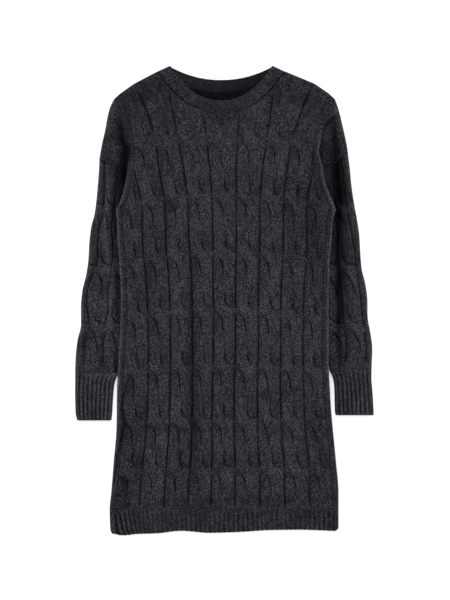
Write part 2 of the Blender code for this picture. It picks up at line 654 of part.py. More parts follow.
def hem_band(name, wool, is_front):
    """The ribbed hem below the front or the back, ribs up. The back's rests flat."""
    step = RIB_POINTS if is_front else 1
    cells = HEM_RIBS * RIB_POINTS if is_front else BACK_HEM_CELLS
    share, down = np.meshgrid(np.linspace(0.0, 1.0, cells + 1), HEM_SHARES)
    top = HEM_TOP - SEAM_GAP
    flat_x = LEFT(top) + (RIGHT(top) - LEFT(top)) * share
    y = top + (HEM_BOTTOM(flat_x) - top) * down
    x = LEFT(y) + (RIGHT(y) - LEFT(y)) * share
    distance = np.minimum(x - LEFT(y), RIGHT(y) - x)
    flat = np.stack([x, y, np.full_like(x, FRONT_LEVEL if is_front else BACK_WALL)], axis=-1)
    thick = HEM_WALL + RIB_RISE * rib(share * HEM_RIBS) if is_front else BACK_WALL
    thick = EDGE_WALL + (thick - EDGE_WALL) * ease(0.0, EDGE_ROLL, distance)
    thick = thick - HEM_ROUND * (down == 1.0)
    outward = np.array([0.0, 0.0, 1.0 if is_front else -1.0])
    mesh = bmesh.new()
    ribbed = add_points(mesh, flat + thick[..., None] * outward)
    plain = add_points(mesh, flat[:, ::step])
    fill(mesh, ribbed)
    fill(mesh, plain)
    last = len(HEM_SHARES) - 1
    loop = [(0, j) for j in range(cells)]
    loop += [(i, cells) for i in range(last)]
    loop += [(last, j) for j in range(cells, 0, -1)]
    loop += [(i, 0) for i in range(last, 0, -1)]
    fine = [ribbed[i][j] for i, j in loop]
    zip_rims(mesh, fine, [plain[i][j // step] if j % step == 0 else None for i, j in loop])
    finish(name, mesh, wool)


def tube(name, wool, outer_rings, inner_rings, inner_rows, partners):
    """A flattened tube, open at both ends. partners gives each inner point's outer one."""
    mesh = bmesh.new()
    outside, inside = add_points(mesh, outer_rings), add_points(mesh, inner_rings[inner_rows])
    for grid in (outside, inside):
        fill(mesh, [ring + ring[:1] for ring in grid])
    for end in (0, -1):
        coarse = [None] * len(outside[end])
        for vertex, partner in zip(inside[end], partners):
            coarse[partner] = vertex
        zip_rims(mesh, outside[end], coarse)
    finish(name, mesh, wool)


def follow(x, top):
    """Y at each x along the rows of points of a tube's top."""
    rows = [row[np.argsort(row[:, 0])] for row in top]
    return np.array([np.interp(at, row[:, 0], row[:, 1]) for at, row in zip(x, rows)])


def flat_ring(top, plain, partners, corners):
    """Rings round a flattened tube: over the top, then back along the floor.

    top holds the upper points row by row, plain the inner ones below them, of which only
    the partners are kept. corners are the x of the two edges, and the way in from the first.
    """
    first, last, way = corners

    def along_floor(inset, z):
        start, end = (last - way * inset)[:, None], (first + way * inset)[:, None]
        x = start + (end - start) * FLOOR_SHARES
        return np.stack([x, follow(x, top), np.full_like(x, z)], axis=-1)

    outer = np.concatenate([top, along_floor(EDGE_INSET, 0.0)], axis=1)
    inner_floor = along_floor(EDGE_INSET + EDGE_WALL, SLEEVE_FLOOR)
    return outer, np.concatenate([plain[:, partners], inner_floor], axis=1)


def body_side(side, y):
    """The distance of the body's side from the middle."""
    return -LEFT(y) if side < 0 else RIGHT(y)


def sleeve_places(rows, side):
    """Lays out a sleeve's upper points.

    Gives y, the way in from the outer edge, the width, and the first and second gutters.
    """
    reach = {column: through(rows, "y", column) for column in Sleeve._fields[1:]}
    corner = max(row.y for row in rows)
    top_y = corner - SLEEVE_GAP
    near = [c + step for c in SLEEVE_CROSSINGS for step in SLEEVE_ROUND]
    levels = sorted([min(row.y for row in rows), *SLEEVE_BETWEEN, *near, top_y])
    share, row_y = np.meshgrid(SLEEVE_SHARES, levels)
    y = row_y
    for _ in range(3):  # how far in a point lies and how far down its seam is depend on y
        beside = body_side(side, y) + 2.0 * SEAM_GAP
        width = reach["outer"](y) - np.where(y > ARMPIT, beside, reach["inner"](y))
        first = reach["gutter"](y)
        second = first + reach["column"](y)
        in_cable = first + (share - 1.0) * (second - first)
        in_last = second + (share - 2.0) * (width - second)
        inward = np.where(share <= 1, share * first, np.where(share <= 2, in_cable, in_last))
        below_corner = corner - armhole_seam(side, reach["outer"](y) - inward)
        y = row_y - below_corner * ease(top_y - SLEEVE_TILT_RUN, top_y, row_y)
    return reach, share, y, inward, width, first, second


def sleeve(name, wool, rows, side):
    """A sleeve lying flat: cables above, a long fold, and its inner edge under the body."""
    reach, share, y, inward, width, first, second = sleeve_places(rows, side)
    outer_x = reach["outer"](y)
    seen = outer_x - body_side(side, y)
    hidden = ease(seen - TUCK_FROM, seen - TUCK_END, inward)
    level = SLEEVE_LEVEL + (TUCKED_LEVEL - SLEEVE_LEVEL) * hidden
    dip = np.exp(-(((inward - reach["fold"](y)) / reach["spread"](y)) ** 2))
    level = np.maximum(level - reach["depth"](y) * dip, TUCKED_LEVEL)
    in_first, in_second = share < 1, (share >= 1) & (share <= 2)
    across = np.where(in_second, share - 1.0, (inward - second) / LAST_WIDTH)
    across = np.clip(np.where(in_first, 0.5 + 0.5 * share, across), 0.0, 1.0)
    cable_width = np.where(in_first, 2 * first, np.where(in_second, second - first, LAST_WIDTH))
    across = across if side < 0 else 1.0 - across
    knit = cable(across, cable_width, above_crossing(y, SLEEVE_CROSSINGS))
    pressed = PRESSED * ease(seen - PRESSED_FROM, seen, inward)
    knit = knit * (1.0 - FOLD_FLATTENS * dip) * (1.0 - pressed)
    roll = ease(0.0, OUTER_ROLL, inward) * ease(0.0, INNER_ROLL, width - inward)
    height = SLEEVE_EDGE + (level + knit - SLEEVE_EDGE) * np.sqrt(roll)
    top = np.stack([side * (outer_x - inward), y, height], axis=-1)
    lowest = SLEEVE_FLOOR + PLAIN_LIFT
    plain_level = lowest + (level - WALL - lowest) * roll
    plain_x = side * (outer_x - np.clip(inward, PLAIN_INSET, width - PLAIN_INSET))
    plain = np.stack([plain_x, follow(plain_x, top), plain_level], axis=-1)
    corners = (top[:, 0, 0], top[:, -1, 0], -side)
    outer, inner = flat_ring(top, plain, SLEEVE_PARTNERS, corners)
    kept = [*range(0, len(y) - 1, 2), len(y) - 1]
    partners = SLEEVE_PARTNERS + [len(SLEEVE_SHARES) + n for n in range(len(FLOOR_SHARES))]
    tube(name, wool, outer, inner, kept, partners)


def cuff(name, wool, rows, side):
    """A ribbed cuff, lying flat and open at both ends."""
    outer_x, inner_x = through(rows, "y", "outer"), through(rows, "y", "inner")
    top_y, bottom_y = max(row.y for row in rows), min(row.y for row in rows)
    first, second, third = CUFF_ENDS
    levels = [bottom_y, bottom_y + first, bottom_y + second, top_y - third, top_y]
    share, y = np.meshgrid(np.linspace(0.0, 1.0, RIB_POINTS * CUFF_RIBS + 1), levels)
    width = outer_x(y) - inner_x(y)
    inward = share * width
    roll = ease(0.0, CUFF_ROLL, inward) * ease(0.0, CUFF_ROLL, width - inward)
    level = CUFF_LEVEL + RIB_RISE * rib(share * CUFF_RIBS)
    height = CUFF_EDGE + (level - CUFF_EDGE) * np.sqrt(roll)
    top = np.stack([side * (outer_x(y) - inward), y, height], axis=-1)
    plain_x = side * (outer_x(y) - np.clip(inward, PLAIN_INSET, width - PLAIN_INSET))
    plain = np.stack([plain_x, y, CUFF_INSIDE + CUFF_CROWN * roll], axis=-1)
    partners = list(range(0, RIB_POINTS * CUFF_RIBS + 1, RIB_POINTS))
    outer, inner = flat_ring(top, plain, partners, (top[:, 0, 0], top[:, -1, 0], -side))
    partners = partners + [share.shape[1] + n for n in range(len(FLOOR_SHARES))]
    tube(name, wool, outer, inner, CUFF_INSIDE_ROWS, partners)


def neckband(wool):
    """The ribbed band: a closed ring, folded flat at the two ends of the neck."""
    front_z, back_z = FRONT_LEVEL + BAND_WALL / 2, BAND_WALL / 2
    radius, middle_z = (front_z - back_z) / 2, (front_z + back_z) / 2
    sections = []

    def add(edge, seam, normal, ribbing):
        """One section: plain inside, and ribbing on the outside."""
        normal = np.array(normal)
        shares = np.array([0.0, 0.5, 1.0])
        middle = edge + (seam - edge) * shares[:, None]
        out = BAND_WALL / 2 + ribbing * np.array([0.5, 1.0, 1.0])
        outside = middle + normal * out[:, None]
        inside = middle[[2, 0]] - normal * BAND_WALL / 2
        sections.append(np.concatenate([outside, inside]))

    def lay(places, drop, power, z, way, ribs):
        """Sections along the front or the back."""
        edge, to_seam = neck_frame(places, drop, power)
        seam = edge + to_seam * (NECK_BAND - SEAM_GAP)
        for n in range(len(places)):
            ends = [np.append(edge[n], z), np.append(seam[n], z)]
            add(ends[0], ends[1], (0.0, 0.0, way), NECK_RIB_RISE * (n % 2) * ribs)
        return ends

    def turn(ends, side, start, end):
        """Sections round the fold at one end of the neck."""
        way = np.array([side * -NECK_FOLD[1], NECK_FOLD[0], 0.0])
        for angle in np.linspace(start, end, FOLD_SECTIONS)[1:-1]:
            normal = way * np.sin(angle) + np.array([0.0, 0.0, np.cos(angle)])
            centre = [np.array([p[0], p[1], middle_z]) + normal * radius for p in ends]
            add(centre[0], centre[1], normal, 0.0)

    front = np.linspace(-1.0, 1.0, 2 * NECK_RIBS + 1)
    turn(lay(front, FRONT_DROP, FRONT_POWER, front_z, 1.0, 1), 1, 0.0, np.pi)
    back = np.linspace(1.0, -1.0, BACK_SECTIONS)
    turn(lay(back, BACK_DROP, BACK_POWER, back_z, -1.0, 0), -1, np.pi, 0.0)
    mesh = bmesh.new()
    grid = add_points(mesh, np.array(sections))
    fill(mesh, [ring + ring[:1] for ring in grid + grid[:1]])
    finish("neckband", mesh, wool)


def build():
    """Clears the scene and builds every piece of the dress."""
    for old in list(bpy.data.objects):
        bpy.data.objects.remove(old)
    body = material("charcoal_wool_knit", CHARCOAL_KNIT)
    bands = material("charcoal_wool_rib", CHARCOAL_RIB)
    front_panel(body)
    back_panel(body)
    hem_band("hem_front", bands, is_front=True)
    hem_band("hem_back", bands, is_front=False)
    sleeve("sleeve_left", body, LEFT_SLEEVE, -1)
    sleeve("sleeve_right", body, RIGHT_SLEEVE, 1)
    cuff("cuff_left", bands, LEFT_CUFF, -1)
    cuff("cuff_right", bands, RIGHT_CUFF, 1)
    neckband(bands)


build()
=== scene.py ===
"""The looks of a charcoal cable-knit sweater dress that lies flat with its front up.

Every piece of cloth is a thin closed shell on the form of its solid, finer than the solid:
cables that cross, ribs, rolled seams, soft creases, and stitches in the finish, whose colour
also carries painted shade and painted light. Sizes are in millimetres until a mesh is
written, and +Y runs from the hem to the neck.
"""

import logging
from dataclasses import dataclass
from enum import Enum
from functools import partial
from typing import Callable, ClassVar, NamedTuple, Sequence

import bmesh
import bpy
import numpy as np
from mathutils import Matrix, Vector


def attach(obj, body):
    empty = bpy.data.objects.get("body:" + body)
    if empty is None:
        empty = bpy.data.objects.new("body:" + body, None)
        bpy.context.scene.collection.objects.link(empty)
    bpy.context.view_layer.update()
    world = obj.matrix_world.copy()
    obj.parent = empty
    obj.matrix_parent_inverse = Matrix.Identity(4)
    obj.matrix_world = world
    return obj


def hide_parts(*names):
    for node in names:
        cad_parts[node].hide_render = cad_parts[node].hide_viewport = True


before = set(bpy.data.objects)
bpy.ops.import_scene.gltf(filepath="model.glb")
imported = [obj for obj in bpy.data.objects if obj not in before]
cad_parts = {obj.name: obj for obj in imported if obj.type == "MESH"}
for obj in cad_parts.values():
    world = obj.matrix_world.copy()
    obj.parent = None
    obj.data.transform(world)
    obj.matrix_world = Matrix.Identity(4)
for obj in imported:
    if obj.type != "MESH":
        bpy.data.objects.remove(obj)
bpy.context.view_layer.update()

log = logging.getLogger("sweater_dress")
Array = np.ndarray
MM = 0.001
STITCHES = "Stitches"
GUTTER, GUTTER_DEPTH_AND_SHADE = "gutter_mm", "gutter_depth"
HOOK, HOOK_DEPTH_AND_SHADE = "hook_mm", "hook_depth"
PAINTED_SHADE_AND_LIGHT = "hollow"
FAR = 15.0  # distances are written up to this many millimetres
# Faces that look down get no painted shade or painted light.
FACES_DOWN = -0.3  # the upward part of a normal below which light from above is shut out
TOGETHER = 0.002  # millimetres within which two points are one
LAST_GUTTER, STRIP_LINE, SIDE_SEAM = 3.5, 4.5, 5.0  # column lines, counted from the middle
CROSSING_SAG = 12.0  # how much lower the crossings are at the sides
HEM_RIB, CUFF_RIB, NECK_RIB = 8.2, 9.5, 4.6  # about how many millimetres a rib is wide


# ---------------------------------------------------------------- sizes


class Side(Enum):
    """The viewer's left or right, as the sign of X."""

    LEFT = -1
    RIGHT = 1


class Layer(Enum):
    """Which of the two body panels."""

    FRONT = "front"
    BACK = "back"


class SideRow(NamedTuple):
    """The body's two sides at a height. strip is the plain strip beside the side seam."""

    y: float
    left: float
    right: float
    strip: float


class GutterRow(NamedTuple):
    """Where the purl gutters run at a height: their middle and their spacing."""

    y: float
    middle: float
    pitch: float


class SwayRow(NamedTuple):
    """How far the gutters stray sideways at a height, from the panel's left to its right."""

    y: float
    far_left: float
    left: float
    middle: float
    right: float
    far_right: float


class DepthRow(NamedTuple):
    """How deep the gutter on a column line is, and how dark its painted shade, 0 to 1."""

    u: float
    depth: float


class StrandRow(NamedTuple):
    """Where an edge of a cable's upper strand runs, at a height above the crossing."""

    above: float
    across: float


class PaintedHeightShadeRow(NamedTuple):
    """The painted shade on the front at a height, 0 to 1, for how much less light it gets there
    than where it lies open.
    """

    y: float
    dark: float


class TopRow(NamedTuple):
    """Where a column line ends on the shoulder, and how far it bows on its way."""

    u: float
    x: float
    y: float
    bow: float


class EdgeRow(NamedTuple):
    """A place on the hem's waving lower edge."""

    x: float
    y: float


class SleeveRow(NamedTuple):
    """A sleeve at a height, by distance from the body's middle and then from its outer edge."""

    y: float
    outer: float
    inner: float
    gutter: float
    column: float
    fold: float
    depth: float
    spread: float


class CuffRow(NamedTuple):
    """A cuff's outer and inner edge at a height."""

    y: float
    outer: float
    inner: float


class ShadeRow(NamedTuple):
    """The painted shade of the long fold beside the body, by distance from the body's middle.

    dark is 0 to 1 in the fold's middle, and fades over inward and outward millimetres.
    tucked is how dark the painted shade between the fold and the body stays.
    """

    y: float
    middle: float
    dark: float
    inward: float
    outward: float
    tucked: float


class Crease(NamedTuple):
    """A soft ridge or, with a negative rise, a trough, from one place to another.

    dark is the painted shade in its middle, from 0 to 1, for how little light reaches it, and
    painted light where it is below 0.
    """

    x: float
    y: float
    to_x: float
    to_y: float
    rise: float
    half_width: float
    dark: float = 0.0


def rows_of(kind: type, *values: tuple) -> tuple:
    """Makes a table from its kind of row and the values in each."""
    return tuple(kind(*row) for row in values)


@dataclass(frozen=True)
class Cloth:
    """Sizes of the knitted walls."""

    wall: float = 2.4
    back_wall: float = 3.0
    edge_wall: float = 1.6
    edge_roll: float = 6.0
    layer_gap: float = 0.5
    seam_gap: float = 0.35
    cable_rise: float = 2.6
    cross_rise: float = 2.0
    pocket: float = 1.9
    rib_rise: float = 1.5
    neck_rib_rise: float = 0.9
    wale: float = 2.9
    course: float = 2.3

    @property
    def front_level(self) -> float:
        """The inside of the front, where nothing lifts it."""
        return self.back_wall + self.layer_gap


@dataclass(frozen=True)
class Levels:
    """Heights up the dress, and how far what is under the sides lifts them.

    The lift starts at lift_from and is whole at lift_full. The sleeve under a side ends from
    rest_full to rest_end, and the fold's lip from lip_full to lip_end. The outer cables fade
    from fade_from to fade_end, and the panel's edge is plain past plain_above.
    """

    hem_top: float = -398.3
    armpit: float = 174.0
    yoke: float = 253.0
    side_lift: float = 8.7
    lip_lift: float = 9.0
    lift_flat: float = 30.0
    lift_end: float = 95.0
    fold_run: float = 7.0
    lift_from: float = -215.0
    lift_full: float = -150.0
    rest_full: float = 185.0
    rest_end: float = 240.0
    lip_full: float = 290.0
    lip_end: float = 352.0
    fade_from: float = 215.0
    fade_end: float = 265.0
    plain_above: float = 240.0
    cap_lift: float = 3.2
    yoke_length: float = 150.0


@dataclass(frozen=True)
class Neck:
    """The neckline and its band."""

    x: float = -6.0
    y: float = 445.4
    half: float = 96.8
    band: float = 25.0
    front_drop: float = 64.1
    front_power: float = 2.2
    back_drop: float = 24.9
    back_power: float = 2.1
    fold_x: float = 0.909
    fold_y: float = -0.418
    fold_reach: float = 32.0
    end_column: float = 1.8
    corner_column: float = 2.0
    corner_rise: float = 2.6
    ribs: int = 44


@dataclass(frozen=True)
class SideLight:
    """How one side of the front is shaded and lit.

    The cap's painted shade is darker by seam at the sleeve seam and by past_seam beyond it,
    and rim is painted light on its outer edge. The side seam's edge gets painted light
    up to lit_top, and more beside the armhole.
    """

    seam: float
    past_seam: float
    rim: float
    lit_top: float
    lit: float
    armhole_lit: float


LEFT_LIGHT = SideLight(
    seam=0.5, past_seam=0.10, rim=0.7, lit_top=262.0, lit=1.3, armhole_lit=0.0
)
RIGHT_LIGHT = SideLight(
    seam=0.08, past_seam=0.04, rim=0.4, lit_top=332.0, lit=1.5, armhole_lit=1.3
)
CLOTH, LEVELS, NECK = Cloth(), Levels(), Neck()
HEM_RIBS, CUFF_RIBS = 48, 9
HEM_JOIN = 0.6
CABLE_STITCHES = 15

SIDES = rows_of(
    SideRow,
    (-450, -214, 217, 11),
    (-436, -218, 218, 11),
    (-398, -219, 218, 11),
    (-368, -216, 218, 11),
    (-306, -211, 213, 11),
    (-245, -206, 207, 11),
    (-184, -205, 202, 11),
    (-123, -202, 199, 11),
    (-67, -199, 199, 11),
    (-5, -197, 199, 11),
    (73, -200, 201, 11),
    (113, -203, 204, 11),
    (153, -205, 207, 11),
    (174, -206, 212, 11),
    (183, -200.5, 209, 11),
    (219, -190, 194.5, 10),
    (253, -184.5, 187.5, 8),
)
GUTTERS = rows_of(
    GutterRow,
    (-398, 1.0, 47.3),
    (-318, 1.0, 45.8),
    (-257, -0.5, 43.6),
    (-165, -1.0, 42.3),
    (-88, 0.5, 42.5),
    (4, 0.3, 43.0),
    (111, 0.5, 44.8),
    (172, 0.3, 44.7),
    (253, -2.5, 48.4),
)
SWAYS = rows_of(
    SwayRow,
    (-400, 2.0, 0.5, -4.5, -3.5, -2.5),
    (-360, 2.5, 1.0, -4.4, -3.0, -1.3),
    (-278, 3.0, 3.6, -3.2, -1.5, 3.0),
    (-180, 2.8, 3.6, -2.5, 0.8, 4.5),
    (-74, 3.2, 2.6, -1.0, 1.2, 1.5),
    (34, 2.8, 2.5, -0.8, 0.2, 0.8),
    (145, -0.5, -1.5, 0.0, 0.0, 0.5),
    (253, -1.0, -3.0, 0.0, 3.0, 2.5),
)
SWAY_LINES = (-3.5, -1.5, 0.0, 1.5, 3.5)
GUTTER_DEPTHS = rows_of(
    DepthRow,
    (-4.5, 0.60),
    (-3.5, 0.94),
    (-2.5, 0.98),
    (-1.5, 1.0),
    (-0.5, 1.0),
    (0.5, 1.0),
    (1.5, 0.98),
    (2.5, 0.95),
    (3.5, 0.85),
    (4.5, 0.60),
)
STRAND_LEFT = rows_of(
    StrandRow,
    (2.0, 0.05),
    (-1, 0.15),
    (-6, 0.27),
    (-10, 0.34),
    (-14, 0.39),
    (-20, 0.43),
    (-28, 0.455),
    (-46, 0.49),
)
STRAND_RIGHT = rows_of(
    StrandRow,
    (46, 0.52),
    (30, 0.52),
    (22, 0.52),
    (17, 0.535),
    (13, 0.56),
    (10, 0.60),
    (7.5, 0.67),
    (6, 0.76),
    (5, 0.88),
    (4, 1.0),
)
CROSSINGS = (302.6, 197.2, 88.1, -21.1, -128.3, -231.7, -325.6)
LEFT_TOPS = rows_of(
    TopRow,
    (-6.0, -238.8, 268.0, 0),
    (-5.8, -233.5, 298.0, 0),
    (-5.5, -228.0, 322.0, 3),
    (-5.2, -223.0, 352.0, 6),
    (-5.0, -218.5, 368.0, 9),
    (-4.5, -211.0, 383.5, 9),
    (-3.5, -199.0, 394.5, 9),
    (-2.5, -172.0, 413.6, 9),
)
RIGHT_TOPS = rows_of(
    TopRow,
    (2.5, 172.0, 413.6, -8),
    (3.5, 200.0, 394.5, -9),
    (4.5, 211.5, 383.5, -9),
    (5.0, 217.0, 368.0, -9),
    (5.2, 221.5, 352.0, -6),
    (5.5, 226.5, 330.0, -3),
    (5.8, 231.5, 306.0, 0),
    (6.0, 235.8, 285.0, 0),
)
HEM_EDGE = rows_of(
    EdgeRow,
    (-219, -446.5),
    (-206, -450),
    (-175, -447.5),
    (-133, -446.2),
    (-84, -441.4),
    (-31, -445.2),
    (23, -443.9),
    (93, -439.7),
    (139, -439.3),
    (219, -442),
)
LEFT_SLEEVE = rows_of(
    SleeveRow,
    (-139.5, 285.3, 202.5, 16.5, 36, 60, 0.0, 9),
    (-107, 284.2, 195, 16.5, 36, 62, 0.6, 9),
    (-77, 280.7, 184, 14, 36, 62, 0.8, 9),
    (-46, 274.0, 176, 16.5, 31, 60, 0.8, 9),
    (-15, 274.2, 172, 12, 40, 58, 1.2, 9),
    (15, 271.9, 171, 10, 39, 54, 1.6, 9),
    (46, 264.6, 171, 12, 35, 48, 2.0, 8),
    (77, 260.0, 172, 18, 28, 47, 2.4, 8),
    (107, 258.3, 174, 16, 29, 49, 2.6, 8),
    (138, 254.9, 180, 16, 23, 45, 3.0, 8),
    (162, 248.6, 195, 16, 20, 40, 3.0, 8),
    (174, 246.6, 207.3, 16, 19, 38, 3.0, 8),
    (185, 245.2, 201.6, 15, 20, 40, 3.0, 9),
    (219, 242.0, 194, 13.5, 22, 43, 3.2, 10),
    (252, 239.5, 188, 11, 24, 46, 3.2, 12),
    (268, 238.8, 186, 11, 24, 48, 3.2, 12),
)
RIGHT_SLEEVE = rows_of(
    SleeveRow,
    (-131.8, 281.6, 200, 13, 37, 58, 0.8, 9),
    (-92, 282.8, 190, 12, 37, 60, 1.6, 9),
    (-61, 279.0, 182, 11, 37, 60, 2.2, 9),
    (-31, 273.9, 176, 10, 37, 56, 2.8, 9),
    (0, 273.5, 174, 13, 35, 54, 3.0, 9),
    (31, 269.6, 173, 13, 35, 52, 3.2, 9),
    (61, 262.4, 173, 10, 34, 46, 3.2, 9),
    (92, 259.9, 175, 11, 32, 42, 3.2, 10),
    (123, 258.1, 188, 14, 27, 39, 3.2, 11),
    (158, 253.0, 206, 16, 25, 33, 3.2, 10),
    (174, 250.0, 213.3, 14, 21, 30, 3.2, 9),
    (184, 248.2, 209.5, 14, 22, 28, 3.2, 9),
    (219, 243.0, 199, 14, 20, 25, 3.2, 9),
    (252, 239.8, 192, 14, 18, 22, 3.2, 9),
    (285, 235.8, 186, 14, 18, 20, 3.2, 9),
)
SLEEVE_CROSSINGS = (172.0, 57.5, -54.0)
LEFT_CUFF = rows_of(
    CuffRow,
    (-140.0, 285.3, 202.6),
    (-155, 285.2, 209.4),
    (-175, 285.4, 212.3),
    (-214, 284.6, 214.6),
    (-230, 281.5, 216.2),
)
RIGHT_CUFF = rows_of(
    CuffRow,
    (-132.3, 281.6, 200.2),
    (-150, 281.3, 207.9),
    (-168, 282.7, 210.4),
    (-214, 285.5, 211.6),
    (-220, 285.6, 213.0),
)
# In each crease, dark is painted shade, and painted light where it is below 0.
FRONT_CREASES = rows_of(
    Crease,
    (-62, 118, -60, -130, -1.4, 9, 0.32),
    (-60, -20, -62, -390, -1.8, 11, 0.46),
    (-40, 40, -44, -360, 0.8, 14),
    (20, 60, 22, -300, -0.8, 10, 0.12),
    (104, 120, 100, -110, 0.5, 13, -0.22),
    (-186, -158, -201, -290, -1.8, 7, 0.20),
    (-168, -190, -196, -350, 1.1, 10),
    (-150, -300, -186, -385, -1.0, 8, 0.20),
    (152, -240, 172, -380, -0.9, 10, 0.15),
    (-190, -335, -188, -410, -0.6, 9, 0.40),
    (-150, 250, -60, 300, 0.5, 20),
    (130, 262, 60, 318, 0.5, 20),
    (-178, 352, -120, 322, -0.8, 14, 0.12),
    (176, 348, 118, 320, -0.8, 13, 0.10),
    (-208, 352, -88, 432, -0.4, 24, 0.42),
    (78, 412, 180, 372, -0.4, 24, 0.34),
    (-48, 348, 50, 348, -0.4, 11, 0.26),
    (130, 245, 130, 75, -0.5, 14, 0.28),
    (-165, -180, -166, -350, -0.3, 12, 0.22),
    (-85, -230, -86, -372, -0.3, 10, 0.2),
    (158, 312, 156, 262, -0.3, 14, 0.25),
    (172, 300, 166, 0, -1.0, 20, 0.36),
    (-138, 190, -142, -70, -0.6, 13, 0.18),
    (-112, 150, -110, 50, -0.6, 11, 0.22),
    (178, -200, 186, -350, -0.8, 13, 0.35),
    (-230, -384, 230, -384, -0.4, 15, 0.26),
    (-85, 170, -85, -150, 0.4, 11, -0.2),
    (-31, 170, -31, -230, 0.4, 10, -0.14),
    (-142, 280, -102, 150, -0.5, 14, 0.24),
    (-182, -140, -199, -214, -1.0, 2.2, 0.9),
    (-199, -198, -186, -244, -1.0, 2.2, 0.85),
    (-186, -226, -208, -308, -1.2, 2.2, 0.95),
    (-203, -288, -211, -356, -0.8, 2.4, 0.8),
    (-207, -335, -176, -352, -0.8, 2.4, 0.75),
    (-203, -120, -207, -330, 0.3, 5, -0.75),
    (-209, -280, -219, -420, 0.3, 5, -0.5),
    (-176, -140, -186, -350, -0.3, 13, 0.26),
    (-193, -338, -194, -412, -0.9, 7, 0.4),
)
# In each crease, dark is painted shade, and painted light where it is below 0.
CAP_CREASES = rows_of(
    Crease,
    (-194, 350, -191, 222, -1.6, 8.5),
    (214, 344, 216, 196, -1.6, 8.0),
    (220, 357, 190, 330, -1.2, 3.2, 0.85),
    (220, 365, 186, 337, 1.8, 4.5, -0.6),
    (186, 402, 228, 340, 0.5, 8, -0.35),
    (-186, 402, -230, 326, 0.5, 8, -0.3),
)
# In each crease, dark is painted shade, and painted light where it is below 0.
LEFT_SLEEVE_CREASES = rows_of(
    Crease,
    (-226, 268, -224, 60, 0.4, 6, -0.6),
    (-220, 110, -221, -130, 0.4, 8, -0.55),
    (-250, 80, -258, -130, 0.3, 9, -0.15),
)
# In each crease, dark is painted shade, and painted light where it is below 0.
RIGHT_SLEEVE_CREASES = rows_of(
    Crease,
    (229, 60, 235, -140, -0.5, 6, 0.25),
    (228, 120, 230, 0, -0.5, 6, 0.25),
    (260, 60, 268, -140, 0.4, 9, -0.4),
    (240, 180, 250, 60, 0.3, 6, -0.15),
)
LEFT_SHADE = rows_of(
    ShadeRow,
    (356, 200, 0.0, 8, 12, 0.0),
    (343, 200, 0.42, 8, 14, 0.0),
    (325, 196, 0.84, 6, 11, 0.0),
    (306, 195, 0.95, 8, 10, 0.1),
    (287, 190, 0.98, 12, 12, 0.4),
    (258, 190, 0.99, 9, 17, 0.4),
    (230, 194, 0.93, 9, 14, 0.3),
    (201, 198, 0.60, 8, 15, 0.2),
    (172, 211, 0.50, 7, 9, 0.1),
    (144, 207, 0.78, 5, 9, 0.1),
    (105, 210, 0.55, 5, 6, 0.1),
    (67, 207, 0.55, 5, 5, 0.0),
    (28, 204, 0.55, 6, 8, 0.0),
    (-10, 204, 0.52, 6, 8, 0.0),
    (-48, 204, 0.42, 6, 7, 0.0),
    (-86, 206, 0.05, 5, 6, 0.0),
    (-115, 207, 0.60, 4, 4, 0.0),
)
RIGHT_SHADE = rows_of(
    ShadeRow,
    (358, 208, 0.0, 10, 7, 0.1),
    (335, 209, 0.68, 6, 6, 0.4),
    (316, 211, 0.93, 6, 7, 0.42),
    (287, 213, 0.98, 7, 11, 0.5),
    (258, 215, 0.985, 9, 12, 0.56),
    (230, 218, 0.96, 13, 14, 0.4),
    (201, 220, 0.90, 16, 16, 0.3),
    (172, 220, 0.86, 10, 13, 0.2),
    (144, 219, 0.86, 12, 12, 0.2),
    (105, 217, 0.84, 11, 18, 0.2),
    (67, 216, 0.72, 9, 17, 0.1),
    (29, 216, 0.94, 7, 13, 0.0),
    (-10, 219, 0.88, 8, 9, 0.0),
    (-48, 218, 0.86, 7, 9, 0.0),
    (-86, 218, 0.66, 7, 9, 0.0),
    (-115, 221, 0.64, 7, 8, 0.1),
    (-136, 222, 0.0, 7, 8, 0.0),
)
FRONT_PAINTED_SHADES = rows_of(
    PaintedHeightShadeRow,
    (-398, 0.04),
    (-330, 0.03),
    (-230, 0.0),
    (250, 0.0),
    (310, 0.08),
    (400, 0.12),
)
BACK_CREASES = rows_of(
    Crease,
    (-70, 120, -82, -330, 0.7, 14),
    (46, 150, 52, -260, 0.8, 15),
    (118, 40, 126, -370, 0.7, 12),
    (-128, -120, -150, -380, 0.6, 12),
)


# ---------------------------------------------------------------- helpers


def ease(start: float, end: float, value: Array) -> Array:
    """Rises smoothly from 0 at start to 1 at end, counted either way.

    Args:
        start: Where it is still 0.
        end: Where it has reached 1.
        value: Where it is asked for.

    Returns:
        The share, 0 to 1.
    """
    t = np.clip((value - start) / (end - start), 0.0, 1.0)
    return t * t * (3.0 - 2.0 * t)


def unit(vector: Array) -> Array:
    """Returns the vectors along the last axis, one long."""
    return vector / np.maximum(np.linalg.norm(vector, axis=-1, keepdims=True), 1e-9)


def through(rows: Sequence[NamedTuple], across: str, column: str) -> Callable[[Array], Array]:
    """Makes a smooth function through two columns of a table, with no overshoot.

    Args:
        rows: The table.
        across: The column that the function takes.
        column: The column that it gives.

    Returns:
        The function.
    """
    ordered = sorted(rows, key=lambda row: getattr(row, across))
    x = np.array([getattr(row, across) for row in ordered], float)
    y = np.array([getattr(row, column) for row in ordered], float)
    slope = np.diff(y) / np.diff(x)
    same_way = slope[1:] * slope[:-1] > 0
    total = np.where(same_way, slope[1:] + slope[:-1], 1.0)
    middle = np.where(same_way, 2.0 * slope[1:] * slope[:-1] / total, 0.0)
    at_knot = np.concatenate([slope[:1], middle, slope[-1:]])

    def value(at: Array) -> Array:
        """Returns the given column's value at each place, held past the table's ends."""
        at = np.clip(at, x[0], x[-1])
        k = np.clip(np.searchsorted(x, at) - 1, 0, len(x) - 2)
        step = x[k + 1] - x[k]
        t = (at - x[k]) / step
        rise = (t * t * (3.0 - 2.0 * t)) * (y[k + 1] - y[k])
        bend = step * (t * (1 - t) ** 2 * at_knot[k] - t * t * (1 - t) * at_knot[k + 1])
        return y[k] + rise + bend

    return value


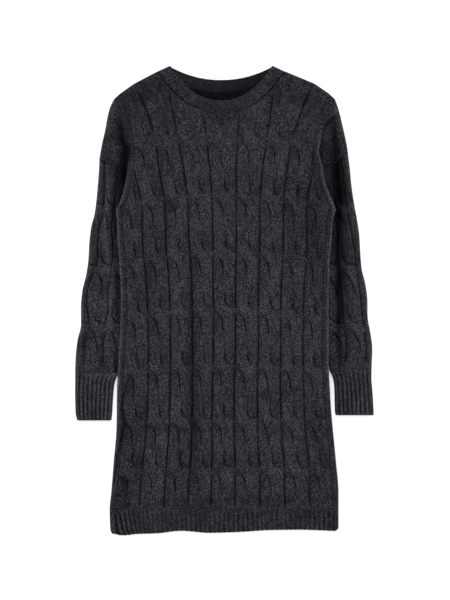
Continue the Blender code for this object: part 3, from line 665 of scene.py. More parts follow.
LEFT = through(SIDES, "y", "left")
RIGHT = through(SIDES, "y", "right")
STRIP = through(SIDES, "y", "strip")
MIDDLE = through(GUTTERS, "y", "middle")
PITCH = through(GUTTERS, "y", "pitch")
HEM_BOTTOM = through(HEM_EDGE, "x", "y")
GUTTER_STRENGTH = through(GUTTER_DEPTHS, "u", "depth")
LEFT_STRAND = through(STRAND_LEFT, "above", "across")
RIGHT_STRAND = through(STRAND_RIGHT, "above", "across")
SHADES = {
    side: [through(table, "y", column) for column in ShadeRow._fields[1:]]
    for side, table in ((Side.LEFT, LEFT_SHADE), (Side.RIGHT, RIGHT_SHADE))
}
FRONT_PAINTED_SHADE = through(FRONT_PAINTED_SHADES, "y", "dark")
SWAY_AT = [through(SWAYS, "y", place) for place in SwayRow._fields[1:]]


def sway(u: Array, y: Array) -> Array:
    """How far column line u strays sideways at a height."""
    total = SWAY_AT[0](y)
    places = zip(SWAY_LINES, SWAY_LINES[1:], SWAY_AT, SWAY_AT[1:])
    for left, right, before, after in places:
        total = total + (after(y) - before(y)) * np.clip((u - left) / (right - left), 0.0, 1.0)
    return total


def fold_shade(side: Side, x: Array, y: Array) -> Array:
    """How dark the painted shade of the long fold beside the body is, 0 to 1.

    Args:
        side: Which sleeve it is on.
        x: Sideways places.
        y: Places along the dress.

    Returns:
        The darkness.
    """
    middle, dark, inward, outward, tucked = SHADES[side]
    off = x * side.value - middle(y)
    spread = np.where(off < 0, inward(y), outward(y))
    core = dark(y) * np.exp(-((off / spread) ** 2))
    beside = tucked(y) * ease(4.0, -4.0, off)
    return 1.0 - (1.0 - core) * (1.0 - beside)


def by_side(u: Array, field: str) -> Array:
    """Returns a field of the left side's painted light and shade, or of the right one's, by the
    column line.
    """
    return np.where(u < 0, getattr(LEFT_LIGHT, field), getattr(RIGHT_LIGHT, field))


def above_crossing(y: Array, crossings: Sequence[float]) -> Array:
    """Returns the height above the nearest crossing, negative below it."""
    apart = np.asarray(y, float)[..., None] - np.array(crossings)
    nearest = np.abs(apart).argmin(axis=-1)
    return np.take_along_axis(apart, nearest[..., None], axis=-1)[..., 0]


def crease_share(x: Array, y: Array, crease: Crease) -> Array:
    """How much of a crease's full rise each place has, fading at its ends and sides."""
    way = np.array([crease.to_x - crease.x, crease.to_y - crease.y])
    length = np.linalg.norm(way)
    way = way / length
    along = ((x - crease.x) * way[0] + (y - crease.y) * way[1]) / length
    waver = min(4.0, crease.half_width / 3.0) * np.sin(along * 7.0 + crease.x)
    off = (x - crease.x) * way[1] - (y - crease.y) * way[0] + waver
    fade = np.clip(along * (1.0 - along) * 4.0, 0.0, 1.0) ** 0.7
    return fade * np.exp(-((off / crease.half_width) ** 2))


def creased(x: Array, y: Array, creases: Sequence[Crease]) -> Array:
    """Height in millimetres that soft creases add at each place."""
    return sum(crease.rise * crease_share(x, y, crease) for crease in creases)


def crease_painted_shade(x: Array, y: Array, creases: Sequence[Crease]) -> Array:
    """The painted shade at each place, 0 to 1, for how little light reaches it past the creases on
    it; below 0 it is painted light.
    """
    open_share = np.ones_like(x)
    for crease in creases:
        open_share = open_share * (1.0 - crease.dark * crease_share(x, y, crease))
    return 1.0 - open_share


# ---------------------------------------------------------------- the knit


class Patch(NamedTuple):
    """The knit at each corner of a shell's faces.

    wale and course count stitches. gutter is the distance to a purl gutter's line and hook
    the distance in from the edge of a cable's upper strand, both in millimetres, and each
    has its depth and its painted shade, 0 to 1. hollow is painted shade for how little light
    from above reaches the place, 0 to 1, and painted light where it is below 0, for a well
    lit place. A shell leaves it out of walls that face down.
    """

    wale: Array
    course: Array
    gutter: Array
    gutter_depth: Array
    hook: Array
    hook_depth: Array
    hollow: Array


def plain_patch(wale: Array, course: Array) -> Patch:
    """Makes plain knit, with no gutters, strands or painted shade."""
    zero = np.zeros_like(wale)
    return Patch(wale, course, zero + FAR, zero, zero + FAR, zero, zero)


@dataclass(frozen=True)
class Cable:
    """A two-strand cable between two purl gutters.

    The upper strand comes from the left half above a crossing and passes to the right half
    below it. The lower strand goes the other way under it. crown is how much each column
    bulges. The strands' edges run sweep times as far across as on the body, and stretch
    times as far along.
    """

    crown: float = 0.4
    floor: float = 0.7
    bank: float = 4.2
    reach: float = 30.0
    middle: float = 1.5
    sweep: float = 1.0
    stretch: float = 1.0

    def edge(self, above: Array, upper: bool) -> Array:
        """How far across the upper strand's right edge (upper) or left one is."""
        along = above / self.stretch
        if upper:
            return 1.0 - self.sweep * (1.0 - RIGHT_STRAND(along))
        return self.sweep * LEFT_STRAND(along)

    def off_edge(self, across: Array, width: Array, above: Array, upper: bool) -> Array:
        """Distance in from the upper strand's right edge (upper) or left one, in millimetres.

        Args:
            across: 0 at the left gutter to 1 at the right one.
            width: Millimetres from gutter to gutter.
            above: Height above the nearest crossing.
            upper: Whether it is the edge that shows above the crossing.

        Returns:
            The distance, negative on the lower strand.
        """
        slope = width * (self.edge(above + 0.5, upper) - self.edge(above - 0.5, upper))
        off = (self.edge(above, upper) - across) * (1.0 if upper else -1.0) * width
        return off / np.sqrt(1.0 + slope**2)

    def edge_share(self, above: Array, upper: bool) -> Array:
        """How clearly the upper strand's edge shows, 1 near the crossing to 0 far from it."""
        if upper:
            return ease(50.0, 17.0, above) * ease(2.0, 15.0, above)
        fading = 0.2 * ease(-20.0, -32.0, above)
        return (1.0 - fading) * ease(-52.0, -34.0, above) * ease(2.0, -17.0, above)

    def height(self, across: Array, width: Array, above: Array, depth: Array = 1.0) -> Array:
        """Height of the cable over the gutter's floor.

        Args:
            across: 0 at the left gutter to 1 at the right one.
            width: Millimetres from gutter to gutter.
            above: Height above the nearest crossing.
            depth: How deep the gutters are, 0 to 1.

        Returns:
            Millimetres.
        """
        from_gutter = width * np.minimum(across, 1.0 - across)
        bank = ease(self.floor, self.bank, from_gutter)
        filled = 0.6 * ease(14.0, 4.0, np.abs(above - self.middle))
        filled = np.maximum(filled, 1.0 - depth)
        crown = self.crown * (4.0 * across * (1.0 - across)) ** 0.6
        near = np.exp(-(((above - self.middle) / 22.0) ** 2))
        over, dip = 1.0, 0.0
        for upper in (True, False):
            off = self.off_edge(across, width, above, upper)
            over = over * ease(-1.0, 4.0, off)
            under = ease(0.9, -1.5, off) * self.edge_share(above, upper)
            dip = dip + under * np.exp(-np.abs(off) / 9.0)
        crossing = CLOTH.cross_rise * near * over - CLOTH.pocket * dip
        return CLOTH.cable_rise * np.maximum(bank, filled) + bank * (crossing + crown)

    def gutter_depth(self, above: Array) -> Array:
        """How deep the gutters are and how dark their painted shade, by height over the nearest
        crossing.
        """
        shut = ease(10.0, 3.0, np.abs(above))
        over = ease(2.0, 8.0, above) * ease(60.0, 30.0, above)
        return (0.90 + 0.10 * over) * (1.0 - 0.75 * shut)

    def knit(self, across: Array, width: Array, above: Array, on_face: tuple) -> Patch:
        """The knit of each place, its stitches slanting with the strand that it is on.

        Args:
            across: 0 at the left gutter to 1 at the right one.
            width: Millimetres from gutter to gutter.
            above: Height above the nearest crossing.
            on_face: across and above at the middle of the place's own face.

        Returns:
            The knit, with wales from the left gutter and the courses that the slant adds.
        """
        mid_across, mid_above = on_face
        left, right = self.edge(mid_above, False), self.edge(mid_above, True)
        strand = np.where((mid_across > left) & (mid_across < right), 0.5, -0.5)
        turn = ease(self.reach, -self.reach, above)
        slope = 6.0 * turn * (1.0 - turn) / (2.0 * self.reach)
        near = np.abs(mid_above) < self.reach
        wale = CABLE_STITCHES * (across - strand * turn * near)
        lean = -strand * slope * near * width
        course = lean * (across - 0.25 - 0.5 * turn) * width / CLOTH.course
        is_upper = mid_above > self.middle
        offs = [self.off_edge(across, width, above, upper) for upper in (True, False)]
        shares = [self.edge_share(above, upper) for upper in (True, False)]
        over = ease(-1.0, 4.0, offs[0]) * ease(-1.0, 4.0, offs[1])
        # Painted shade on the lower strand near the crossing, and painted light on the upper
        # strand.
        around = np.exp(-(((above - self.middle) / 30.0) ** 2))
        return Patch(
            wale=wale,
            course=course,
            gutter=width * np.minimum(np.abs(across), np.abs(1.0 - across)),
            gutter_depth=self.gutter_depth(above),
            hook=np.where(is_upper, *offs),
            hook_depth=np.where(is_upper, *shares),
            hollow=around * (0.14 - 0.22 * over),
        )


BODY_CABLE = Cable()
SLEEVE_CABLE = Cable(crown=1.7, bank=6.5, reach=40.0, sweep=1.7, stretch=1.8)


def rib(turn: Array) -> Array:
    """Height of a rib, 0 to 1, at a number of ribs across."""
    wave = 0.5 - 0.5 * np.cos(2.0 * np.pi * turn)
    return ease(0.08, 0.8, wave)


# ---------------------------------------------------------------- shells


@dataclass
class GridShell:
    """A closed shell with an outer and an inner wall on one grid of column and row lines."""

    name: str
    columns: Array
    rows: Array
    wraps: bool = False

    def build(
        self,
        wall: Callable[[Array, Array, bool], Array],
        knit: Callable[[Array, Array, Array, Array], Patch],
        missing: Callable[[Array, Array], Array] | None = None,
    ) -> bpy.types.Object:
        """Makes the shell.

        Args:
            wall: Points in millimetres, from columns, rows and whether they are outside.
            knit: The knit at corners, from their columns and rows and their faces' middles.
            missing: True where a face, by its middle, is left out.

        Returns:
            The shell, with its stitches in a UV map, and slot 1 for the inner wall.
        """
        mesh = self._lay_grid(missing)
        data = bpy.data.meshes.new(self.name)
        mesh.to_mesh(data)
        mesh.free()
        self._place(data, wall)
        self._turn_out(data)
        self._knit(data, knit)
        self._weld(data)
        made = bpy.data.objects.new(self.name, data)
        bpy.context.scene.collection.objects.link(made)
        return made

    def _lay_grid(self, missing: Callable[[Array, Array], Array] | None) -> bmesh.types.BMesh:
        """Lays a flat grid, cuts it to shape, doubles it and joins its ends if it wraps."""
        across, along = len(self.columns) - 1, len(self.rows) - 1
        mesh = bmesh.new()
        mesh.loops.layers.uv.new(STITCHES)
        bmesh.ops.create_grid(
            mesh, x_segments=across, y_segments=along, size=1.0, calc_uvs=True
        )
        if missing is not None:
            middles = np.array([face.calc_center_median()[:2] for face in mesh.faces])
            gone = missing(*self._lines(middles[:, 0], middles[:, 1]))
            faces = [face for face, out in zip(mesh.faces[:], gone) if out]
            bmesh.ops.delete(mesh, geom=faces, context="FACES")
        grown = bmesh.ops.extrude_face_region(mesh, geom=mesh.faces[:])
        lifted = [part for part in grown["geom"] if isinstance(part, bmesh.types.BMVert)]
        bmesh.ops.translate(mesh, verts=lifted, vec=(0.0, 0.0, 1.0))
        bmesh.ops.recalc_face_normals(mesh, faces=mesh.faces)
        for face in mesh.faces:
            outer_points = sum(vert.co.z > 0.5 for vert in face.verts)
            face.material_index = int(outer_points == 0)
            face.smooth = outer_points in (0, 4)
        if self.wraps:
            self._join_ends(mesh)
        return mesh

    def _join_ends(self, mesh: bmesh.types.BMesh) -> None:
        """Takes away the walls at the two ends of the grid, and welds the ends."""
        ends = [
            face
            for face in mesh.faces
            if all(vert.co.x < -0.9999 for vert in face.verts)
            or all(vert.co.x > 0.9999 for vert in face.verts)
        ]
        bmesh.ops.delete(mesh, geom=ends, context="FACES")
        first = {
            (round(vert.co.y, 5), round(vert.co.z)): vert
            for vert in mesh.verts
            if vert.co.x < -0.9999
        }
        last = [vert for vert in mesh.verts if vert.co.x > 0.9999]
        target = {vert: first[(round(vert.co.y, 5), round(vert.co.z))] for vert in last}
        bmesh.ops.weld_verts(mesh, targetmap=target)

    def _lines(self, x: Array, y: Array) -> tuple:
        """Columns and rows at grid places from -1 to 1, between lines as well."""
        column = np.interp((x + 1.0) / 2.0 * (len(self.columns) - 1),
                           np.arange(len(self.columns)), self.columns)
        row = np.interp((y + 1.0) / 2.0 * (len(self.rows) - 1),
                        np.arange(len(self.rows)), self.rows)
        return column, row

    def _place(self, data: bpy.types.Mesh, wall: Callable) -> None:
        """Moves the grid's points onto the wall's outer and inner side."""
        flat = np.empty(len(data.vertices) * 3, np.float32)
        data.vertices.foreach_get("co", flat)
        flat = flat.reshape(-1, 3).astype(float)
        column, row = self._lines(flat[:, 0], flat[:, 1])
        is_outer = flat[:, 2:] > 0.5
        points = np.where(is_outer, wall(column, row, True), wall(column, row, False))
        data.vertices.foreach_set("co", (points * MM).astype(np.float32).ravel())
        data.update()

    def _turn_out(self, data: bpy.types.Mesh) -> None:
        """Turns the faces outwards, since placing can mirror the grid."""
        mesh = bmesh.new()
        mesh.from_mesh(data)
        bmesh.ops.recalc_face_normals(mesh, faces=mesh.faces)
        mesh.to_mesh(data)
        mesh.free()

    def _knit(self, data: bpy.types.Mesh, knit: Callable) -> None:
        """Writes the stitches, the knit's depths, and its painted shade and light on the faces'
        corners.
        """
        grid = np.empty(len(data.loops) * 2, np.float32)
        data.uv_layers[STITCHES].uv.foreach_get("vector", grid)
        grid = grid.reshape(-1, 2).astype(float) * 2.0 - 1.0
        column, row = self._lines(grid[:, 0], grid[:, 1])
        mid_column = column.reshape(-1, 4).mean(axis=1).repeat(4)
        mid_row = row.reshape(-1, 4).mean(axis=1).repeat(4)
        patch = knit(column, row, mid_column, mid_row)
        normals = np.empty(len(data.polygons) * 3, np.float32)
        data.polygons.foreach_get("normal", normals)
        # Painted shade and painted light are kept only on faces that look up.
        is_lit = (normals[2::3] > FACES_DOWN).repeat(4)
        stitches = np.stack([patch.wale, patch.course], axis=-1).astype(np.float32)
        data.uv_layers[STITCHES].uv.foreach_set("vector", stitches.ravel())
        values = {
            GUTTER: patch.gutter,
            GUTTER_DEPTH_AND_SHADE: patch.gutter_depth,
            HOOK: patch.hook,
            HOOK_DEPTH_AND_SHADE: patch.hook_depth,
            PAINTED_SHADE_AND_LIGHT: patch.hollow * is_lit,
        }
        for name, value in values.items():
            layer = data.attributes.new(name, "FLOAT", "CORNER")
            layer.data.foreach_set("value", np.clip(value, -FAR, FAR).astype(np.float32))

    def _weld(self, data: bpy.types.Mesh) -> None:
        """Joins points that lie together, as where a column narrows to nothing."""
        mesh = bmesh.new()
        mesh.from_mesh(data)
        bmesh.ops.remove_doubles(mesh, verts=mesh.verts, dist=TOGETHER * MM)
        self._put_in_order(mesh)
        mesh.to_mesh(data)
        mesh.free()

    def _put_in_order(self, mesh: bmesh.types.BMesh) -> None:
        """Sorts edges and faces by their points, since an extrusion's order varies by run."""
        mesh.verts.index_update()
        for parts in (mesh.edges, mesh.faces):
            ordered = sorted(parts, key=lambda part: sorted(vert.index for vert in part.verts))
            for number, part in enumerate(ordered):
                part.index = number
            parts.sort()


class Fabric(Enum):
    """How a piece is made, as the start of its name."""

    CABLED = "knitted"
    RIBBED = "ribbed"


def dress(
    piece: bpy.types.Object,
    fabric: Fabric,
    node: str,
    outside: bpy.types.Material,
    inside: bpy.types.Material,
) -> bpy.types.Object:
    """Names a shell, gives it its finishes, and makes it stand for its solid.

    Args:
        piece: The shell.
        fabric: How it is made.
        node: The solid that it replaces.
        outside: The finish of the outer wall.
        inside: The finish of the inner wall.

    Returns:
        The shell.
    """
    piece.name = f"{fabric.value}_{node}"
    piece.data.materials.append(outside)
    piece.data.materials.append(inside)
    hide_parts(node)
    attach(piece, "root")
    log.info("%s: %d faces", piece.name, len(piece.data.polygons))
    return piece


# ---------------------------------------------------------------- neckline


def neck_frame(at: Array, layer: Layer) -> tuple:
    """The neck edge at each sideways place, and the way from there to the seam.

    Args:
        at: Places from -1 to 1.
        layer: The front's neckline or the back's.

    Returns:
        Points of the edge, and unit vectors, both seen from above.
    """
    is_front = layer is Layer.FRONT
    drop = NECK.front_drop if is_front else NECK.back_drop
    power = NECK.front_power if is_front else NECK.back_power
    at = np.asarray(at, float)
    x = NECK.x + NECK.half * at
    y = NECK.y - drop + drop * np.abs(at) ** power
    slope = power * drop / NECK.half * np.sign(at) * np.abs(at) ** (power - 1)
    square = unit(np.stack([slope, -np.ones_like(slope)], axis=-1))
    fold = np.stack([np.sign(at) * NECK.fold_x, np.full_like(at, NECK.fold_y)], axis=-1)
    turn = ease(1.0 - NECK.fold_reach / NECK.half, 1.0, np.abs(at))[..., None]
    return np.stack([x, y], axis=-1), unit(square * (1 - turn) + fold * turn)


# ---------------------------------------------------------------- the body


def armhole_ends(side: Side) -> tuple:
    """Distances from the middle of the sleeve seam's ends: the fold's foot, the corner."""
    if side is Side.LEFT:
        return -LEFT(LEVELS.yoke), -LEFT_TOPS[0].x
    return RIGHT(LEVELS.yoke), RIGHT_TOPS[-1].x


def armhole_seam(side: Side, distance: Array) -> Array:
    """Height of the sleeve seam at a distance from the middle."""
    foot, corner = armhole_ends(side)
    top = LEFT_TOPS[0].y if side is Side.LEFT else RIGHT_TOPS[-1].y
    share = np.clip((distance - foot) / (corner - foot), 0.0, 1.0)
    return LEVELS.yoke + (top - LEVELS.yoke) * share**1.5


@dataclass
class BodyPanel:
    """The front or the back: cables, a plain strip at each side, and a dropped shoulder.

    A column line u counts cables from the middle, with a gutter at each half, the side seam
    at 5 and the sleeve seam's outer end at 6. A row v is the height up to the yoke, and above
    that 1 more than the yoke's height at the shoulder and neck seams.
    """

    layer: Layer
    per_cable: int
    row_step: float

    def __post_init__(self) -> None:
        """Finds where the column lines end at the top."""
        neck = np.linspace(-1, 1, 61)
        edge, way = neck_frame(neck, self.layer)
        places = edge + way * (NECK.band + CLOTH.seam_gap)
        tops = [TopRow(NECK.end_column * n, x, y, 0) for n, (x, y) in zip(neck, places)]
        for side, (x, y) in ((-1, places[0]), (1, places[-1])):
            corner_x = x - side * NECK.fold_y * NECK.corner_rise
            corner_y = y + NECK.fold_x * NECK.corner_rise
            tops.append(TopRow(NECK.corner_column * side, corner_x, corner_y, 0))
        tops = sorted(LEFT_TOPS + RIGHT_TOPS + tuple(tops), key=lambda top: top.u)
        self.tops = np.array(tops)

    @property
    def is_front(self) -> bool:
        """Whether this is the front."""
        return self.layer is Layer.FRONT

    def column(self, u: Array, y: Array) -> Array:
        """X of column line u at a height below the yoke."""
        side = np.where(u < 0, LEFT(y), RIGHT(y))
        inward = np.where(u < 0, 1.0, -1.0)
        outer = side + inward * STRIP(y)
        inner = MIDDLE(y) - inward * LAST_GUTTER * PITCH(y) + sway(-LAST_GUTTER * inward, y)
        size = np.abs(u)
        in_strip = side + (outer - side) * (SIDE_SEAM - size) / (SIDE_SEAM - STRIP_LINE)
        in_last = outer + (inner - outer) * (STRIP_LINE - size)
        in_cables = MIDDLE(y) + u * PITCH(y) + sway(u, y)
        return np.select([size <= LAST_GUTTER, size <= STRIP_LINE], [in_cables, in_last], in_strip)

    def base(self, u: Array) -> tuple:
        """Where column line u starts on the yoke's lowest row, on the sleeve seam past 5."""
        x = self.column(np.clip(u, -SIDE_SEAM, SIDE_SEAM), np.full_like(u, LEVELS.yoke))
        y = np.full_like(x, LEVELS.yoke)
        for side in Side:
            past = np.clip(u * side.value - SIDE_SEAM, 0.0, 1.0)
            foot, corner = armhole_ends(side)
            x = x + side.value * past * (corner - foot)
            y = y + armhole_seam(side, foot + past * (corner - foot)) - LEVELS.yoke
        return x, y

    def place(self, u: Array, v: Array) -> tuple:
        """X and Y at column line u and row v."""
        t = np.clip(v - LEVELS.yoke, 0.0, 1.0)
        base_x, base_y = self.base(u)
        top_x = np.interp(u, self.tops[:, 0], self.tops[:, 1])
        top_y = np.interp(u, self.tops[:, 0], self.tops[:, 2])
        bow = np.interp(u, self.tops[:, 0], self.tops[:, 3]) * 4.0 * t * (1.0 - t)
        in_yoke = v >= LEVELS.yoke
        below = np.minimum(v, LEVELS.yoke)
        x = np.where(in_yoke, base_x + (top_x - base_x) * t + bow, self.column(u, below))
        y = np.where(in_yoke, base_y + (top_y - base_y) * t, below)
        return x, y

    def lip(self, v: Array) -> Array:
        """The column line of the armhole fold's edge, and of the side seam below it."""
        return SIDE_SEAM - 0.5 * ease(0.0, 0.25, v - LEVELS.yoke) * self.is_front

    def to_crossing(self, u: Array, y: Array) -> Array:
        """Height above the nearest crossing, as the crossings' rows hang lower at the sides."""
        outward = np.minimum(np.abs(u) / LAST_GUTTER, 1.2)
        drop = CROSSING_SAG * outward**2 * ease(-330.0, 100.0, y)
        return above_crossing(y + drop, CROSSINGS)

    def side_distance(self, u: Array, v: Array) -> Array:
        """Millimetres in from the side seam or the edge of the armhole's fold."""
        x, _ = self.place(u, v)
        edge, _ = self.place(np.where(u < 0, -1.0, 1.0) * self.lip(v), v)
        return np.maximum((x - edge) * np.where(u < 0, 1.0, -1.0), 0.0)

    def lift(self, u: Array, v: Array) -> Array:
        """How far the cloth stands above where it would lie if nothing were under it."""
        _, y = self.place(u, v)
        distance = self.side_distance(u, v)
        inward = ease(LEVELS.lift_end, LEVELS.lift_flat, distance)
        below = ease(LEVELS.lift_from, LEVELS.lift_full, y)
        above = ease(LEVELS.rest_end, LEVELS.rest_full, y)
        resting = LEVELS.side_lift * below * above * inward
        if not self.is_front:
            return np.where(np.abs(u) > SIDE_SEAM, 0.0, resting)
        lip = LEVELS.lip_lift * below * ease(LEVELS.lip_end, LEVELS.lip_full, y) * inward
        rounded = np.sin(0.5 * np.pi * np.clip(distance / LEVELS.fold_run, 0.0, 1.0))
        lifted = resting + (lip - resting) * rounded
        past = np.clip(np.abs(u) - SIDE_SEAM, 0.0, 1.0)
        cap = LEVELS.cap_lift * ease(0.3, 0.75, past) * ease(1.0, 0.85, past)
        return np.where(np.abs(u) > self.lip(v) + 0.001, cap, lifted)

    def resting(self, u: Array, v: Array) -> Array:
        """The front's inner wall, or the back's upper one."""
        x, y = self.place(u, v)
        level = CLOTH.front_level if self.is_front else CLOTH.back_wall
        return np.stack([x, y, level + self.lift(u, v)], axis=-1)

    def roll(self, u: Array, v: Array) -> Array:
        """0 at a side or shoulder seam, 1 where the wall has its full thickness."""
        x, y = self.place(u, v)
        top_x, top_y = self.place(u, np.full_like(v, LEVELS.yoke + 1.0))
        to_top = np.hypot(top_x - x, top_y - y)
        full = CLOTH.edge_roll
        from_shoulder = np.where(np.abs(u) > NECK.end_column, to_top, to_top + 3.5)
        in_yoke = v > LEVELS.yoke
        near = np.where(in_yoke, from_shoulder, self.side_distance(u, v))
        return np.sqrt(ease(-full * 0.2, full, near))

    def knit_rise(self, u: Array, v: Array) -> Array:
        """Height of the cables at column line u and row v."""
        _, y = self.place(u, v)
        across = np.mod(u + 0.5, 1.0)
        left, _ = self.place(np.floor(u + 0.5) - 0.5, v)
        right, _ = self.place(np.floor(u + 0.5) + 0.5, v)
        width = np.abs(right - left)
        depth = GUTTER_STRENGTH(np.round(u - 0.5) + 0.5)
        rise = BODY_CABLE.height(across, width, self.to_crossing(u, y), depth)
        size = np.abs(u)
        faded = ease(LEVELS.fade_end, LEVELS.fade_from, y)
        edge_cable = np.where(size > LAST_GUTTER, faded, 1.0)
        beside_fold = CLOTH.cable_rise * 0.7
        rise = beside_fold + (rise - beside_fold) * edge_cable
        plain = ease(STRIP_LINE, STRIP_LINE + 0.06, size)
        rise = rise + (beside_fold - rise) * plain
        to_hem = ease(0.0, 12.0, y - LEVELS.hem_top)
        at_hem = CLOTH.rib_rise * HEM_JOIN
        return at_hem + (rise - at_hem) * to_hem

    def outer(self, u: Array, v: Array) -> Array:
        """The wall's outer surface, with its knit and creases."""
        if not self.is_front:
            return self.underside(u, v)
        inner = self.resting(u, v)
        small_u, small_v = 0.02, np.where(v >= LEVELS.yoke, 0.01, 1.0)
        along_u = self.resting(u + small_u, v) - self.resting(u - small_u, v)
        along_v = self.resting(u, v + small_v) - self.resting(u, v - small_v)
        normal = np.cross(along_u, along_v)
        past_lip = np.abs(u) > self.lip(v) + 0.001
        leaning = ease(0.0, 12.0, self.side_distance(u, v)) * ~past_lip * (normal[..., 2] > 1e-9)
        upright = np.array([0.0, 0.0, 1.0])
        normal = unit(upright + (unit(normal) - upright) * leaning[..., None])
        x, y = inner[..., 0], inner[..., 1]
        creases = np.where(past_lip, creased(x, y, CAP_CREASES), creased(x, y, FRONT_CREASES))
        rise = self.knit_rise(u, v) + creases + self.undulation(x, y)
        thick = CLOTH.edge_wall + (CLOTH.wall + rise - CLOTH.edge_wall) * self.roll(u, v)
        return inner + normal * np.maximum(thick, 1.2)[..., None]

    def wall(self, u: Array, v: Array, out: bool) -> Array:
        """Points of the panel's knitted or plain side."""
        return self.outer(u, v) if out else self.resting(u, v)

    def is_missing(self, mid_u: Array, mid_v: Array) -> Array:
        """True past the side seam below the yoke, where there is no cloth."""
        return (np.abs(mid_u) > SIDE_SEAM) & (mid_v < LEVELS.yoke)

    def undulation(self, x: Array, y: Array) -> Array:
        """How the cloth's own unevenness lifts it, in millimetres."""
        long_wave = np.sin(x / 41.0 + 0.8 * np.sin(y / 83.0)) * np.sin(y / 67.0 + x / 150.0)
        short_wave = np.sin(x / 17.0 + y / 29.0 + 2.0) * np.sin(y / 23.0 - x / 61.0)
        return 0.55 * long_wave + 0.3 * short_wave

    def underside(self, u: Array, v: Array) -> Array:
        """The back's lower wall, pressed nearly flat, with its cables only just showing."""
        upper = self.resting(u, v)
        rise = self.knit_rise(u, v) / (CLOTH.cable_rise + CLOTH.cross_rise)
        pressed = creased(upper[..., 0], upper[..., 1], BACK_CREASES)
        hollow = 0.9 * (1.0 - np.clip(rise, 0.0, 1.0)) + 0.8 * np.maximum(pressed, 0.0)
        thick = CLOTH.back_wall - hollow
        thick = CLOTH.edge_wall + (thick - CLOTH.edge_wall) * self.roll(u, v)
        return upper - thick[..., None] * np.array([0.0, 0.0, 1.0])

    def cap_shade(self, u: Array, v: Array, x: Array, y: Array) -> Array:
        """How dark the painted shade on the shoulder's cap is past the fold, less along its outer
        edge, which gets painted light.
        """
        shade = np.where(u < 0, fold_shade(Side.LEFT, x, y), fold_shade(Side.RIGHT, x, y))
        at_seam = by_side(u, "seam") * ease(0.04, 0.0, v - LEVELS.yoke)
        at_seam = np.maximum(at_seam, by_side(u, "past_seam"))
        shade = 1.0 - (1.0 - shade) * (1.0 - crease_painted_shade(x, y, CAP_CREASES)) * (1.0 - at_seam)
        top_x, top_y = self.place(u, np.full_like(v, LEVELS.yoke + 1.0))
        return shade - by_side(u, "rim") * ease(8.0, 2.0, np.hypot(top_x - x, top_y - y))

    def side_light(self, u: Array, v: Array, y: Array) -> Array:
        """How much painted light brightens the side seam's edge, where it stands over the sleeve.
        """
        lit = by_side(u, "lit") + by_side(u, "armhole_lit") * ease(170.0, 240.0, y)
        lit = lit * ease(LEVELS.lift_from, LEVELS.lift_full, y)
        lit = lit * ease(0.0, 40.0, by_side(u, "lit_top") - y)
        reach = np.where(y > LEVELS.armpit, 8.0, 5.5)
        return lit * ease(reach, 1.0, self.side_distance(u, v))

    def knit(self, u: Array, v: Array, mid_u: Array, mid_v: Array) -> Patch:
        """The knit at each corner: see GridShell.build."""
        x, y = self.place(u, v)
        _, mid_y = self.place(mid_u, mid_v)
        number = np.floor(mid_u + 0.5)
        across = u + 0.5 - number
        left, _ = self.place(number - 0.5, v)
        right, _ = self.place(number + 0.5, v)
        width = np.maximum(np.abs(right - left), 4.0)
        above, mid_above = self.to_crossing(u, y), self.to_crossing(mid_u, mid_y)
        on_face = (mid_u + 0.5 - number, mid_above)
        knit = BODY_CABLE.knit(across, width, above, on_face)
        in_last = (np.abs(mid_u) > LAST_GUTTER) & (mid_y > LEVELS.plain_above)
        plain = (np.abs(mid_u) > STRIP_LINE) | in_last
        strip_wale = np.sign(mid_u) * (np.abs(u) - STRIP_LINE) * 24.0
        _, top_y = self.place(u, np.full_like(v, LEVELS.yoke + 1.0))
        in_yoke = 0.85 * ease(312.0, 324.0, y) * ease(6.0, 24.0, top_y - y)
        in_yoke = in_yoke * np.where(np.abs(u) > 3.0, 0.25, 1.0)
        depth = np.where(y > 300.0, in_yoke, knit.gutter_depth * ease(300.0, 290.0, y))
        depth = depth * GUTTER_STRENGTH(np.round(u - 0.5) + 0.5)
        depth = depth * ease(LEVELS.hem_top, LEVELS.hem_top + 9.0, y)
        past_lip = np.abs(mid_u) > self.lip(mid_v) + 0.001
        size = np.abs(u)
        # Painted shade below the neckband, in the front's creases, by height and near the
        # crossings, less the painted light on the side seam's edge.
        below_band = ease(5.0, 1.0, top_y - y) * (size < NECK.corner_column)
        band_painted_shade = 0.5 * below_band * ease(0.4, 1.3, size)
        panel_shade_and_light = 1.0 - (1.0 - crease_painted_shade(x, y, FRONT_CREASES)) * (1.0 - FRONT_PAINTED_SHADE(y))
        panel_shade_and_light = panel_shade_and_light + np.where(plain, 0.0, knit.hollow) - self.side_light(u, v, y) + band_painted_shade
        # creases is painted shade and light: that of the cap past the fold, else that of the panel.
        creases = np.where(past_lip, self.cap_shade(u, v, x, y), panel_shade_and_light)
        # Painted shade on the back's inner side, seen inside the neck.
        neck_painted_shade = 0.85 * ease(330.0, 372.0, y) * ease(120.0, 85.0, np.abs(x))
        in_strip = (np.abs(mid_u) > STRIP_LINE) & (mid_y < LEVELS.plain_above)
        beside_seam = 0.3 * ease(240.0, 200.0, y)
        return Patch(
            wale=np.where(np.abs(mid_u) > STRIP_LINE, strip_wale, knit.wale + 3.0 * number),
            course=y / CLOTH.course + np.where(plain, 0.0, knit.course),
            gutter=np.where(in_strip, (size - STRIP_LINE) * 2.0 * STRIP(y), knit.gutter),
            gutter_depth=np.where(in_strip, beside_seam, np.where(plain, 0.0, depth)),
            hook=knit.hook,
            hook_depth=np.where(plain, 0.0, knit.hook_depth * (1.0 - 0.6 * ease(270, 300, y))),
            hollow=creases if self.is_front else neck_painted_shade,
        )

